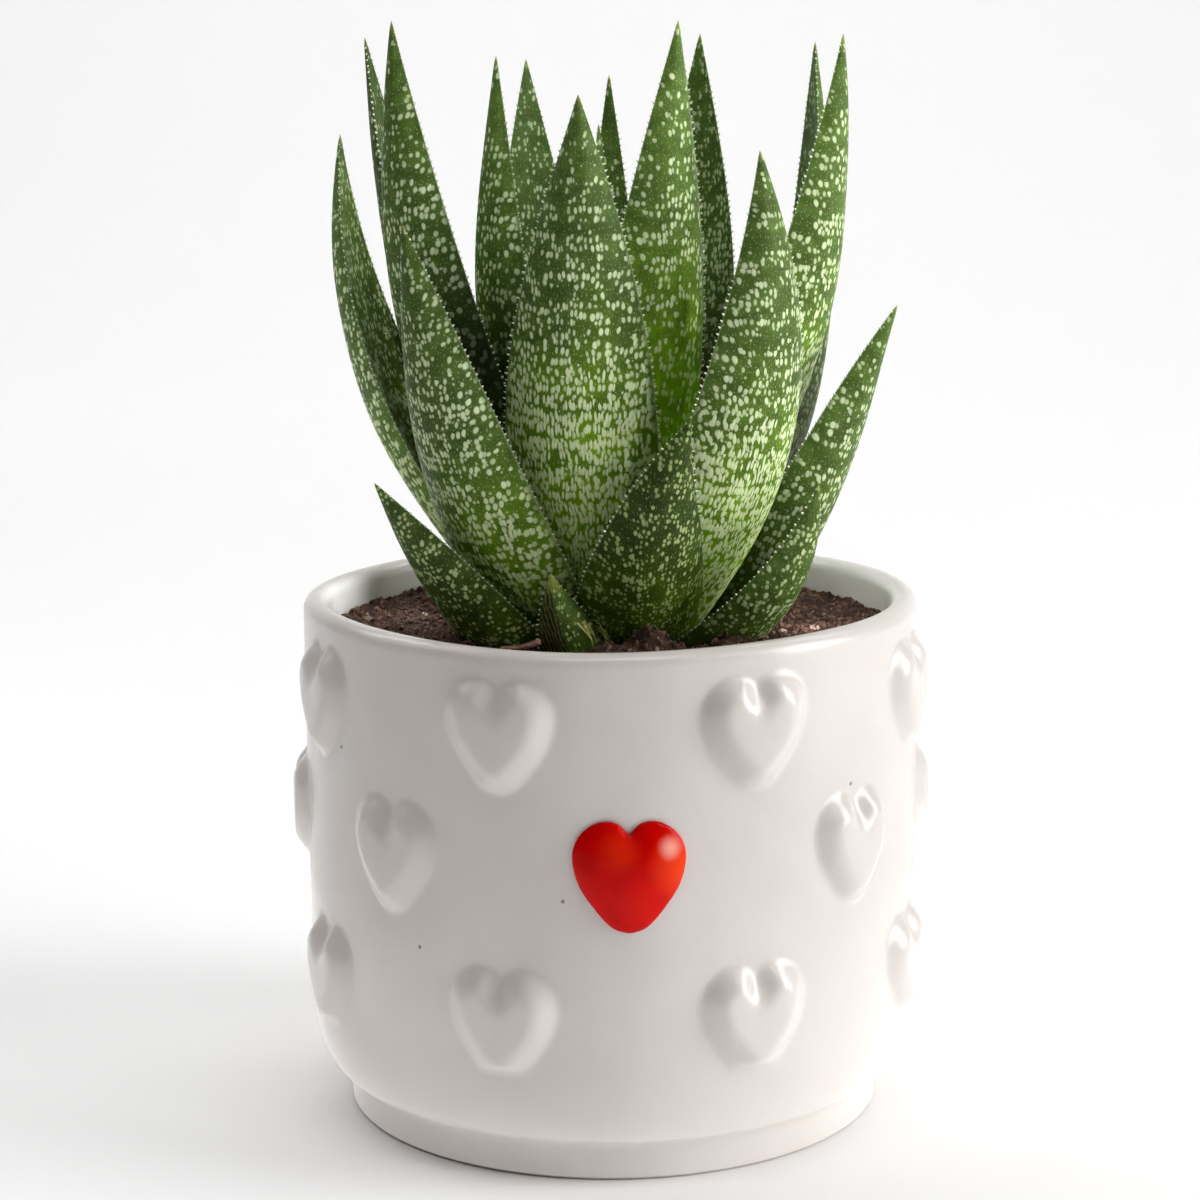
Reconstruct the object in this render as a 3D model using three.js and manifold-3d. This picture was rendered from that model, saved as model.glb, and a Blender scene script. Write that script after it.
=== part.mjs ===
// A white-flecked, toothed succulent in a glazed ceramic pot with raised hearts.
//
// Frame: +Z up, with the origin under the middle of the pot's foot, on the surface that it
// stands on. The front, with the red heart, faces -Y. Lengths are in millimetres and angles
// in degrees. A bearing is measured round the pot's axis: 0 is the front and 90 is +X.

import * as THREE from "three";
import { mergeVertices } from "three/addons/utils/BufferGeometryUtils.js";
import Module from "manifold-3d";

const wasm = await Module();
wasm.setup();

// ---------------------------------------------------------------- driving dimensions

const GAP = 0.3; // clearance between pieces that touch on the real plant and pot

const POT = {
  radius: 42.5, // outside of the wall
  wall: 3.5,
  height: 71.8,
  footRadius: 37.3,
  footHeight: 5.4,
  footWidth: 5.0, // of the ring that it stands on
  footBevel: 0.7,
  underside: 1.6, // how far the middle of the base is raised off the table
  floor: 6.0, // thickness of the bottom, from the table
  shoulder: 17.0, // height where the wall begins to turn in to the foot
  dip: 0.9, // how far the hand-finished rim sinks at the front
  dipAngle: 40, // to either side
  dipDepth: 9, // down the wall
  sides: 48,
};

// Where the inside turns from the wall to the floor: in from the wall and up from the floor.
const BASIN = [
  [0, 8],
  [2, 2],
  [7, 0],
];

const HEARTS = {
  perRow: 8,
  redBearing: 2.9,
  rowHeights: [22.3, 42.6, 60.4],
  redRow: 1,
  relief: 2.2,
  sunk: 0.8, // how far a heart's back reaches into the wall
  edge: 0.1, // how far a white heart's edge stands off the wall
  redEdge: 0.75, // the red one's edge is crisper
  dome: (share) => (1 - share ** 2.2) ** 0.7, // height at a share of the way out
  domeRings: [0.86, 0.5],
};

// Right half of a heart, from the notch round to the foot, across and up from its middle.
const HEART_HALF = [
  [0, 5.4],
  [1.7, 6.9],
  [4.0, 6.9],
  [6.2, 5.3],
  [7.15, 2.6],
  [6.4, -1.0],
  [4.4, -4.2],
  [2.1, -6.7],
  [0, -7.4],
];
const HEART_HUB = [0, 0.9]; // the point that the dome rises to

const SOIL = { level: 66.8, clearance: GAP, sides: 40, rings: 9, floorGap: GAP };

// Heaps and hollows of the soil: bearing, distance from the axis, height, spread.
const SOIL_HEAPS = [
  [13, 24, 4.0, 2.9],
  [0, 25, 1.7, 3.4],
  [36, 27, 2.6, 4.5],
  [69, 28, 1.2, 7],
  [-57, 26, 1.4, 6],
  [-22, 27, -0.8, 6],
  [-130, 28, 1.2, 8],
  [128, 28, 1.0, 8],
  [180, 29, 1.2, 9],
];

// A shard of dried bark that lies on the soil at the front, against the stub of a leaf.
const CHIP = {
  ends: [
    [-34.5, 25.6, 67.5],
    [-22.5, 24.3, 68.8],
  ],
  sag: 0.5,
  width: 1.7,
  thickness: 0.8,
  sides: 6,
  steps: 4,
  fullness: (t) => 0.45 + 0.55 * Math.sin(Math.PI * (0.15 + 0.7 * t)), // it narrows to its ends
};

// The stem's outline as distance from the axis and height, widest where the oldest leaves sit.
const STEM = {
  profile: [
    [3.5, 48],
    [9.0, 55],
    [10.4, 61],
    [1.6, 74],
    [0.4, 78],
  ],
  sides: 14,
};

// Each root sets out below the stem's widest place and bends down as it goes.
const ROOTS = {
  count: 6,
  radius: [1.2, 0.7],
  start: [3, 52], // distance from the axis and height
  length: 26,
  droop: [20, 62],
  sides: 5,
  steps: 3,
};

// Leaves from the oldest and lowest to the youngest: name, bearing of the root; bearing, distance
// from the axis and height of the tip; lean from upright at the root and at the tip; greatest
// width, how far along it peaks, roll about the midrib, and where a hooked tip points.
const LEAVES = [
  ["leaf_01_stub", -13, [-18, 25, 78], [50, 20], 10.4, 0.2, 20],
  ["leaf_02_low_left", -50, [-48, 40.5, 90.5], [50, 44], 15.5, 0.3, 0],
  ["leaf_03_low_right", 43, [45, 38, 90], [60, 16], 14, 0.3, 0],
  ["leaf_04_low_back", 165, [165, 38, 96], [58, 30], 14, 0.3, 0],
  ["leaf_05_front", 16, [18, 33.5, 99], [36, 24], 18, 0.25, 0, 80],
  ["leaf_06_right", 72, [67, 41, 112], [50, 30], 16.5, 0.35, -12],
  ["leaf_07_back_left", -138, [-138, 38, 108], [54, 20], 14, 0.35, 0],
  ["leaf_08_left", -44, [-41.7, 38.8, 123.5], [42, 18], 20, 0.3, 0],
  ["leaf_09_right", 38, [36.5, 32.3, 132.2], [40, -10], 19, 0.38, 0],
  ["leaf_10_far_left", -86, [-88.4, 36, 134.4], [36, 2], 18, 0.4, -16],
  ["leaf_11_back_right", 125, [125, 36, 118], [50, 15], 15, 0.35, 0],
  ["leaf_12_centre", -14, [-8.6, 24.3, 139.3], [30, 4], 20.4, 0.37, 0],
  ["leaf_13_right_tall", 64, [62.2, 34.4, 146.8], [31, 6], 17, 0.4, -6],
  ["leaf_14_left_back", -108, [-109.7, 35.6, 147.5], [36, 12], 14, 0.4, 0],
  ["leaf_15_right_back", 104, [105.6, 29.7, 146.4], [52, 3], 16, 0.4, 0],
  ["leaf_16_left_tall", -62, [-63.3, 31.1, 148.9], [36, 4.5], 17.6, 0.4, 15],
  ["leaf_17_back", -155, [-152.4, 24.8, 144.5], [34, 4], 15, 0.4, 0],
  ["leaf_18_back", 140, [143.8, 22.3, 147.8], [32, 4], 16.5, 0.4, 0],
  ["leaf_19_centre_tall", 26, [33.5, 16.8, 148.7], [17, 8], 16.4, 0.36, 0],
  ["leaf_20_inner_left", -80, [-80, 15, 144.6], [24, 2], 14.8, 0.4, 15],
  ["leaf_21_inner_back", 176, [179, 18, 142.2], [20, 0], 8, 0.4, 0],
  ["leaf_22_youngest", -150, [-150, 2.3, 135.5], [4, 2], 7, 0.4, 0],
].map(([name, root, tip, lean, width, belly, roll, heading = tip[0]]) => {
  return { name, root, tip, lean, width, belly, roll, heading };
});

// The roots of the leaves climb the stem in a spiral, drawing in as they go.
const LEAF_ROOT = { lowZ: 61, highZ: 73, lowRadius: 10.8, highRadius: 2.2 };

// Cross-section as shares of the width: the outer face bulges and the inner face is hollow,
// both at the root and at the tip.
const SECTION = {
  bulge: [0.28, 0.33],
  hollow: [0.15, 0.03],
  rootWidth: 0.72,
  roundness: 2.4, // power of the outer face's curve from margin to margin
  outerPoints: [-0.74, -0.4, 0, 0.4, 0.74], // on the outer face, as shares of the half width
  thinnest: { half: 0.35, bulge: 0.45 },
};

const MIDRIB_PULL = 0.38; // how stiffly a leaf keeps its lean at either end

const TEETH = { length: 0.5, halfWidth: 0.45, spacing: 5.2, forward: 0.3, clearOfRoot: 0.2 };

// ---------------------------------------------------------------- helpers

const rad = THREE.MathUtils.degToRad;
const lerp = THREE.MathUtils.lerp;

// A point at a bearing and distance from the pot's axis.
function polar(bearing, radius, z) {
  return new THREE.Vector3(radius * Math.sin(rad(bearing)), -radius * Math.cos(rad(bearing)), z);
}

// Turns an outline of distances from the axis and heights round that axis.
function lathe(outline, sides) {
  const points = outline.map(([radius, z]) => new THREE.Vector2(radius, z));
  return new THREE.LatheGeometry(points, sides).rotateX(Math.PI / 2);
}

// A geometry from its points and, three by three, the numbers of its faces' corners.
function meshOf(points, corners) {
  const positions = points.flatMap((point) => point.toArray());
  return new THREE.BufferGeometry()
    .setAttribute("position", new THREE.Float32BufferAttribute(positions, 3))
    .setIndex(corners);
}

// Skins a row of closed rings with equal numbers of points. An end is closed by a fan, to the
// given point or else to the middle of its ring.
function loft(rings, startPoint, endPoint) {
  const sides = rings[0].length;
  const middle = (ring) => ring.reduce((sum, p) => sum.add(p), new THREE.Vector3()).divideScalar(sides);
  const points = [...rings.flat(), startPoint ?? middle(rings[0]), endPoint ?? middle(rings.at(-1))];
  const start = rings.length * sides;
  const end = start + 1;
  const last = start - sides;
  const faces = [];
  for (let side = 0; side < sides; side++) {
    const next = (side + 1) % sides;
    for (let row = 0; row < last; row += sides) {
      faces.push(row + side, row + next, row + sides + next);
      faces.push(row + side, row + sides + next, row + sides + side);
    }
    faces.push(start, next, side);
    faces.push(end, last + side, last + next);
  }
  return meshOf(points, faces);
}

// A closed geometry as a solid, turned to face outwards.
function toSolid(geometry) {
  const bare = geometry.clone();
  bare.deleteAttribute("normal");
  bare.deleteAttribute("uv");
  const merged = mergeVertices(bare, 1e-4);
  const vertProperties = new Float32Array(merged.attributes.position.array);
  const corners = [];
  for (let i = 0; i < merged.index.count; i += 3) {
    const [a, b, c] = [0, 1, 2].map((k) => merged.index.getX(i + k));
    if (a !== b && b !== c && c !== a) corners.push([a, b, c]);
  }
  const point = (i) => new THREE.Vector3().fromArray(vertProperties, 3 * i);
  const volume = corners.reduce((sum, [a, b, c]) => sum + point(a).dot(point(b).cross(point(c))), 0);
  const triVerts = new Uint32Array((volume < 0 ? corners.map(([a, b, c]) => [a, c, b]) : corners).flat());
  return new wasm.Manifold(new wasm.Mesh({ numProp: 3, vertProperties, triVerts }));
}

// The largest body of a solid, without the scraps that a cut can leave.
function largest(solid) {
  return solid.decompose().reduce((best, body) => (body.volume() > best.volume() ? body : best));
}

function toGeometry(solid) {
  const mesh = solid.getMesh();
  const geometry = new THREE.BufferGeometry()
    .setAttribute("position", new THREE.BufferAttribute(new Float32Array(mesh.vertProperties), 3))
    .setIndex(new THREE.BufferAttribute(new Uint32Array(mesh.triVerts), 1));
  geometry.computeVertexNormals();
  return geometry;
}

// ---------------------------------------------------------------- pot and hearts

// Points along a quarter ellipse from one angle to another, as [radius, height].
function arc(centre, radii, from, to, steps) {
  return Array.from({ length: steps + 1 }, (_, i) => {
    const angle = rad(lerp(from, to, i / steps));
    return [centre[0] + radii[0] * Math.cos(angle), centre[1] + radii[1] * Math.sin(angle)];
  });
}

function potBody() {
  const inner = POT.radius - POT.wall;
  const lip = POT.wall / 2;
  const footInner = POT.footRadius - POT.footWidth;
  const corner = POT.footRadius + 0.4;
  const profile = [
    [0, POT.underside],
    [footInner - POT.footBevel, POT.underside],
    [footInner, 0],
    [POT.footRadius - POT.footBevel, 0],
    [POT.footRadius, POT.footBevel],
    [POT.footRadius, POT.footHeight],
    ...arc([corner, POT.shoulder], [POT.radius - corner, POT.shoulder - POT.footHeight], -80, 0, 4),
    ...arc([POT.radius - lip, POT.height - lip], [lip, lip], 0, 180, 5),
    ...BASIN.map(([inwards, up]) => [inner - inwards, POT.floor + up]),
    [0, POT.floor],
  ];
  const body = lathe(profile, POT.sides);
  const position = body.attributes.position;
  for (let i = 0; i < position.count; i++) {
    const [x, y, z] = [position.getX(i), position.getY(i), position.getZ(i)];
    const fromFront = THREE.MathUtils.radToDeg(Math.atan2(x, -y)) / POT.dipAngle;
    const share = THREE.MathUtils.smoothstep(z, POT.height - POT.dipDepth, POT.height);
    position.setZ(i, z - POT.dip * share * Math.exp(-fromFront * fromFront));
  }
  return body;
}

// The heart's whole outline, from its middle: the right half and its mirror image.
function heartOutline() {
  const left = HEART_HALF.slice(1, -1).map(([x, y]) => [-x, y]);
  return [...HEART_HALF, ...left.reverse()];
}

// A domed heart bent round the wall, from the radius of its back, with its edge at another.
function heart(bearing, z, backRadius, edgeRadius) {
  const crown = POT.radius + HEARTS.relief;
  const onWall = (share, radius) =>
    heartOutline().map(([x, y]) => {
      const across = lerp(HEART_HUB[0], x, share);
      const up = lerp(HEART_HUB[1], y, share);
      return polar(bearing + THREE.MathUtils.radToDeg(across / POT.radius), radius, z + up);
    });
  const dome = (share) => onWall(share, lerp(edgeRadius, crown, HEARTS.dome(share)));
  const rings = [onWall(1, backRadius), onWall(1, edgeRadius), ...HEARTS.domeRings.map(dome)];
  const hub = z + HEART_HUB[1];
  return loft(rings, polar(bearing, backRadius, hub), polar(bearing, crown, hub));
}

// Where the hearts stand: three rows, the middle one offset by half a step.
function heartPlaces() {
  const step = 360 / HEARTS.perRow;
  return HEARTS.rowHeights.flatMap((z, row) =>
    Array.from({ length: HEARTS.perRow }, (_, i) => ({
      z,
      bearing: HEARTS.redBearing + step * (i + (row === HEARTS.redRow ? 0 : 0.5)),
      red: row === HEARTS.redRow && i === 0,
    })),
  );
}

function pot() {
  const white = heartPlaces().filter((place) => !place.red);
  const domes = white.map(({ bearing, z }) =>
    toSolid(heart(bearing, z, POT.radius - HEARTS.sunk, POT.radius + HEARTS.edge)),
  );
  return toSolid(potBody()).add(wasm.Manifold.union(domes));
}

function redHeart() {
  const { bearing, z } = heartPlaces().find((place) => place.red);
  return toSolid(heart(bearing, z, POT.radius + GAP, POT.radius + HEARTS.redEdge));
}

// ---------------------------------------------------------------- leaves

// Width along a leaf as a share of its greatest: from the root out to the belly, then in to a
// long point.
function widthShare(t, belly) {
  if (t < belly) return 1 - (1 - SECTION.rootWidth) * ((belly - t) / belly) ** 2;
  return Math.sin((Math.PI / 2) * ((1 - t) / (1 - belly)));
}

// A unit vector that leans from upright towards a bearing.
function leaning(bearing, lean) {
  return polar(bearing, Math.sin(rad(lean)), Math.cos(rad(lean)));
}

// The midrib as a curve, from the leaf's place in the spiral up the stem to its tip.
function midrib(leaf) {
  const age = LEAVES.indexOf(leaf) / (LEAVES.length - 1);
  const root = polar(
    leaf.root,
    lerp(LEAF_ROOT.lowRadius, LEAF_ROOT.highRadius, age),
    lerp(LEAF_ROOT.lowZ, LEAF_ROOT.highZ, age),
  );
  const tip = polar(...leaf.tip);
  const pull = MIDRIB_PULL * root.distanceTo(tip);
  const leaving = root.clone().addScaledVector(leaning(leaf.root, leaf.lean[0]), pull);
  const arriving = tip.clone().addScaledVector(leaning(leaf.heading, leaf.lean[1]), -pull);
  return new THREE.CubicBezierCurve3(root, leaving, arriving, tip);
}

// The eight points round a leaf at a place along it: margin, five on the bulging outer face,
// margin, and one in the hollow of the inner face, with the directions there.
function leafSection(leaf, curve, t, grow) {
  const point = curve.getPointAt(t);
  const along = curve.getTangentAt(t);
  const bearing = rad(lerp(leaf.root, leaf.tip[0], t));
  const level = new THREE.Vector3(Math.cos(bearing), Math.sin(bearing), 0);
  level.addScaledVector(along, -level.dot(along)).normalize();
  const across = level.applyAxisAngle(along, rad(leaf.roll));
  const out = new THREE.Vector3().crossVectors(across, along);
  const width = leaf.width * widthShare(t, leaf.belly);
  const half = Math.max(width / 2, SECTION.thinnest.half) + grow;
  const bulge = Math.max(width * lerp(...SECTION.bulge, t), SECTION.thinnest.bulge) + grow;
  const hollow = width * lerp(...SECTION.hollow, t) - grow;
  const at = (side, height) =>
    point.clone().addScaledVector(across, side).addScaledVector(out, height);
  const outer = SECTION.outerPoints.map((side) =>
    at(side * half, bulge * (1 - Math.abs(side) ** SECTION.roundness)),
  );
  const margin = (side) => at(side * (half + grow), -2 * grow);
  return { along, across, left: margin(-1), right: margin(1), outer, inner: at(0, hollow) };
}

// A leaf's solid. Each station carries a pair of teeth, which are points on the margins with a
// foot to either side. A cutter is the same leaf grown all round, its margins out past the teeth.
function leafSolid(leaf, grow = 0) {
  const curve = midrib(leaf);
  const count = Math.max(6, Math.round(curve.getLength() / TEETH.spacing));
  const faces = [];
  const points = [];
  const add = (p) => points.push(p) - 1;
  const stations = Array.from({ length: count }, (_, i) => {
    const t = i / count;
    const { along, across, left, right, outer, inner } = leafSection(leaf, curve, t, grow);
    const tooth = t > TEETH.clearOfRoot && i < count - 1 ? TEETH.length : 0;
    const margin = (edge, side) => {
      const point = edge.clone().addScaledVector(across, side * tooth);
      if (grow || !tooth) return Array(3).fill(add(point));
      const foot = (way) => add(edge.clone().addScaledVector(along, way * TEETH.halfWidth));
      return [foot(-1), add(point.addScaledVector(along, TEETH.forward)), foot(1)];
    };
    return { left: margin(left, -1), outer: outer.map(add), right: margin(right, 1), inner: add(inner) };
  });
  // Between stations: strips of the outer face, and fans from a margin's points to its neighbours.
  const quad = (a, b, c, d) => faces.push([a, b, c], [a, c, d]);
  const fan = (low, high, lowMargin, highMargin, flip) => {
    const fans = [
      [low, lowMargin[1], lowMargin[2]],
      [low, lowMargin[2], highMargin[0]],
      [low, highMargin[0], high],
      [high, highMargin[0], highMargin[1]],
    ];
    faces.push(...(flip ? fans.map(([a, b, c]) => [a, c, b]) : fans));
  };
  for (let i = 1; i < count; i++) {
    const [low, high] = [stations[i - 1], stations[i]];
    for (let k = 1; k < low.outer.length; k++) {
      quad(low.outer[k - 1], low.outer[k], high.outer[k], high.outer[k - 1]);
    }
    fan(low.outer[0], high.outer[0], low.left, high.left, true);
    fan(low.outer.at(-1), high.outer.at(-1), low.right, high.right, false);
    fan(low.inner, high.inner, low.left, high.left, false);
    fan(low.inner, high.inner, low.right, high.right, true);
  }
  // The root is closed flat, and the last station runs in to the tip.
  const [first, last] = [stations[0], stations.at(-1)];
  const rim = ({ left, outer, right, inner }) => [left[1], ...outer, right[1], inner];
  const base = rim(first);
  for (let k = 1; k < base.length - 1; k++) faces.push([base.at(-1), base[k], base[k - 1]]);
  const tip = add(curve.getPointAt(1).addScaledVector(curve.getTangentAt(1), grow));
  rim(last).forEach((from, k, ring) => faces.push([from, ring[(k + 1) % ring.length], tip]));
  return toSolid(meshOf(points, faces.flat()));
}

// ---------------------------------------------------------------- stem, roots and soil

function stem(grow = 0) {
  const outline = STEM.profile.map(([radius, z]) => [radius + grow, z]);
  const closed = [[0, STEM.profile[0][1] - grow], ...outline, [0, STEM.profile.at(-1)[1] + grow]];
  return toSolid(lathe(closed, STEM.sides));
}

function root(bearing, grow = 0) {
  const away = polar(bearing, 1, 0);
  const side = new THREE.Vector3(-away.y, away.x, 0);
  const rings = Array.from({ length: ROOTS.steps + 1 }, (_, k) => {
    const t = k / ROOTS.steps;
    const droop = rad(lerp(ROOTS.droop[0], ROOTS.droop[1], t));
    const centre = polar(bearing, ROOTS.start[0] + ROOTS.length * t * Math.cos(droop), ROOTS.start[1]);
    centre.z -= ROOTS.length * t * Math.sin(droop);
    const radius = lerp(ROOTS.radius[0], ROOTS.radius[1], t) + grow;
    return Array.from({ length: ROOTS.sides }, (_, j) => {
      const turn = (2 * Math.PI * j) / ROOTS.sides;
      const lift = new THREE.Vector3(0, 0, radius * Math.sin(turn));
      return centre.clone().addScaledVector(side, radius * Math.cos(turn)).add(lift);
    });
  });
  return toSolid(loft(rings));
}

function stemAndRoots(grow = 0) {
  const roots = Array.from({ length: ROOTS.count }, (_, i) => root((360 * (i + 0.5)) / ROOTS.count, grow));
  return stem(grow).add(wasm.Manifold.union(roots));
}

function barkChip(grow = 0) {
  const [low, high] = CHIP.ends.map((end) => polar(...end));
  const middle = low.clone().lerp(high, 0.5).add(new THREE.Vector3(0, 0, -CHIP.sag));
  const curve = new THREE.QuadraticBezierCurve3(low, middle, high);
  const rings = Array.from({ length: CHIP.steps + 1 }, (_, i) => {
    const t = i / CHIP.steps;
    const along = curve.getTangent(t);
    const across = new THREE.Vector3(0, 1, 0).addScaledVector(along, -along.y).normalize();
    const up = new THREE.Vector3().crossVectors(across, along);
    const halfWidth = (CHIP.width / 2) * CHIP.fullness(t) + grow;
    return Array.from({ length: CHIP.sides }, (_, k) => {
      const turn = (2 * Math.PI * k) / CHIP.sides;
      return curve
        .getPoint(t)
        .addScaledVector(across, halfWidth * Math.cos(turn))
        .addScaledVector(up, (CHIP.thickness / 2 + grow) * Math.sin(turn));
    });
  });
  return toSolid(loft(rings));
}

function soilHeight(bearing, radius) {
  const here = polar(bearing, radius, 0);
  return SOIL_HEAPS.reduce((z, [b, r, height, spread]) => {
    return z + height * Math.exp(-here.distanceToSquared(polar(b, r, 0)) / (spread * spread));
  }, SOIL.level);
}

// The soil fills the pot to a little under its rim, with a gap all round.
function soilBlock() {
  const outer = POT.radius - POT.wall - SOIL.clearance;
  const ring = (radius, heightAt) =>
    Array.from({ length: SOIL.sides }, (_, i) => {
      const bearing = (360 * i) / SOIL.sides;
      return polar(bearing, radius, heightAt(bearing, radius));
    });
  const floor = POT.floor + SOIL.floorGap;
  const top = Array.from({ length: SOIL.rings }, (_, i) => outer * (1 - i / SOIL.rings));
  const rings = [
    ...BASIN.map(([inwards, up]) => ring(outer - inwards, () => floor + up)).reverse(),
    ...top.map((radius) => ring(radius, soilHeight)),
  ];
  const [bottom, crest] = [polar(0, 0, floor), polar(0, 0, soilHeight(0, 0))];
  return toSolid(loft(rings, bottom, crest));
}

// ---------------------------------------------------------------- assembly

const glaze = new THREE.MeshStandardMaterial({ color: 0xecebe8, roughness: 0.12, metalness: 0 });
const redGlaze = new THREE.MeshStandardMaterial({ color: 0xc40a06, roughness: 0.15, metalness: 0 });
const peat = new THREE.MeshStandardMaterial({ color: 0x3a2a22, roughness: 0.95, metalness: 0 });
const leafGreen = new THREE.MeshStandardMaterial({ color: 0x4d7a2c, roughness: 0.42, metalness: 0 });
const stemPale = new THREE.MeshStandardMaterial({ color: 0xa8a874, roughness: 0.7, metalness: 0 });
const driedBark = new THREE.MeshStandardMaterial({ color: 0x8a5f48, roughness: 0.8, metalness: 0 });

const plantAndPot = new THREE.Group();

function addPiece(name, solid, material) {
  const mesh = new THREE.Mesh(toGeometry(largest(solid)), material);
  mesh.name = name;
  plantAndPot.add(mesh);
}

addPiece("pot", pot(), glaze);
addPiece("red_heart", redHeart(), redGlaze);
addPiece("stem_and_roots", stemAndRoots(), stemPale);

// From the youngest leaf outwards, each is trimmed where it would press into one inside it.
const keepClear = [stemAndRoots(GAP)];
for (const leaf of [...LEAVES].reverse()) {
  const solid = leafSolid(leaf).subtract(wasm.Manifold.union(keepClear));
  addPiece(leaf.name, solid, leafGreen);
  keepClear.push(leafSolid(leaf, GAP));
}

addPiece("bark_chip", barkChip().subtract(wasm.Manifold.union(keepClear)), driedBark);
keepClear.push(barkChip(GAP));

addPiece("soil", soilBlock().subtract(wasm.Manifold.union(keepClear)), peat);

export default plantAndPot;
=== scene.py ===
# %% [markdown]
# # A flecked succulent in a pot with hearts
#
# The real thing is a small glazed pot of dark peat with a rosette of thick, toothed leaves. The
# CAD model has every piece in its place. This script dresses it: each node that shows is replaced
# by a finer piece of the same form, with its real finish. We load the solids first. The dressed
# model has to stay within it.

# %% Load the frame
import math

import bmesh
import bpy
import numpy as np
from mathutils import Matrix, Vector, noise
from mathutils.bvhtree import BVHTree


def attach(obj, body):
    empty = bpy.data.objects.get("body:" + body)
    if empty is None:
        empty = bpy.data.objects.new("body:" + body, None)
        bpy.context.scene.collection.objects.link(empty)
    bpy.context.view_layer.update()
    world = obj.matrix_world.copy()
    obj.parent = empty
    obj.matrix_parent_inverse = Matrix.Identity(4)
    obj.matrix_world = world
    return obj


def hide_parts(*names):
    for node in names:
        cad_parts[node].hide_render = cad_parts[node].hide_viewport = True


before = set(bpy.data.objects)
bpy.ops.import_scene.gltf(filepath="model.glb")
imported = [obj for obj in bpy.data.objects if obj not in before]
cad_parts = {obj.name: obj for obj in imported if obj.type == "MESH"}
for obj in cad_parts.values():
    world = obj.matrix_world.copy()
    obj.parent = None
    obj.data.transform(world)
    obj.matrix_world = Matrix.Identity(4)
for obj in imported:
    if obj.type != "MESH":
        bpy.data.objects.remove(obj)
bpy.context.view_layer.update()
scene = bpy.context.scene
MM = 0.001


def put(name, data):
    """A new object in the scene."""
    made = bpy.data.objects.new(name, data)
    scene.collection.objects.link(made)
    return made


# %% [markdown]
# ## The camera
#
# The view was worked out from the ellipses of the rim and the foot: a long lens, a hand's height
# above the rim, looking down by ten degrees. The camera is aimed first and rolled last.

# %% Set up the camera
LENS = 81.87
CAMERA_AT = Vector((0, -374.1, 137.9)) * MM
DOWN, ASIDE, ROLL = math.radians(10.25), math.radians(0.22), math.radians(-0.43)

camera = put("camera", bpy.data.cameras.new("camera"))
camera.data.lens = LENS
camera.data.clip_start = 0.01
aim = Matrix.Rotation(ASIDE, 4, "Z") @ Matrix.Rotation(math.pi / 2 - DOWN, 4, "X")
camera.matrix_world = Matrix.Translation(CAMERA_AT) @ aim @ Matrix.Rotation(ROLL, 4, "Z")
scene.camera = camera
print("camera", LENS, "mm, at", [round(v, 3) for v in CAMERA_AT])

# %% [markdown]
# ## Wires and boards
#
# A finish is a small sum: so much of this colour where that pattern is strong. Two helpers let us
# write a node tree as such sums. A `Wire` is a value on its way between nodes, and adding or
# multiplying wires adds the Math nodes. A `Board` is the tree itself, and makes every other node
# from its type, its settings and what goes in to its sockets.

# %% Define the wire and the board
class Wire:
    """A value on its way through a node tree."""

    def __init__(self, board, socket):
        self.board, self.socket = board, socket

    def _with(self, operation, *others):
        return self.board.math(operation, self, *others)

    def __add__(self, other): return self._with("ADD", other)
    def __sub__(self, other): return self._with("SUBTRACT", other)
    def __mul__(self, other): return self._with("MULTIPLY", other)
    def __truediv__(self, other): return self._with("DIVIDE", other)
    def __pow__(self, other): return self._with("POWER", other)
    def __gt__(self, other): return self._with("GREATER_THAN", other)
    def __rsub__(self, other): return self.board.math("SUBTRACT", other, self)
    def __rtruediv__(self, other): return self.board.math("DIVIDE", other, self)
    __radd__, __rmul__ = __add__, __mul__

    def size(self): return self._with("ABSOLUTE")
    def sine(self): return self._with("SINE")
    def least(self, other): return self._with("MINIMUM", other)
    def most(self, other): return self._with("MAXIMUM", other)

    def rise(self, low, high):
        """0 below low, 1 above high, and smooth between them. It falls if low is the greater."""
        ends = {"From Min": low, "From Max": high}
        return self.board.add(
            "ShaderNodeMapRange", {"interpolation_type": "SMOOTHSTEP"}, {"Value": self, **ends}
        )["Result"]


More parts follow.
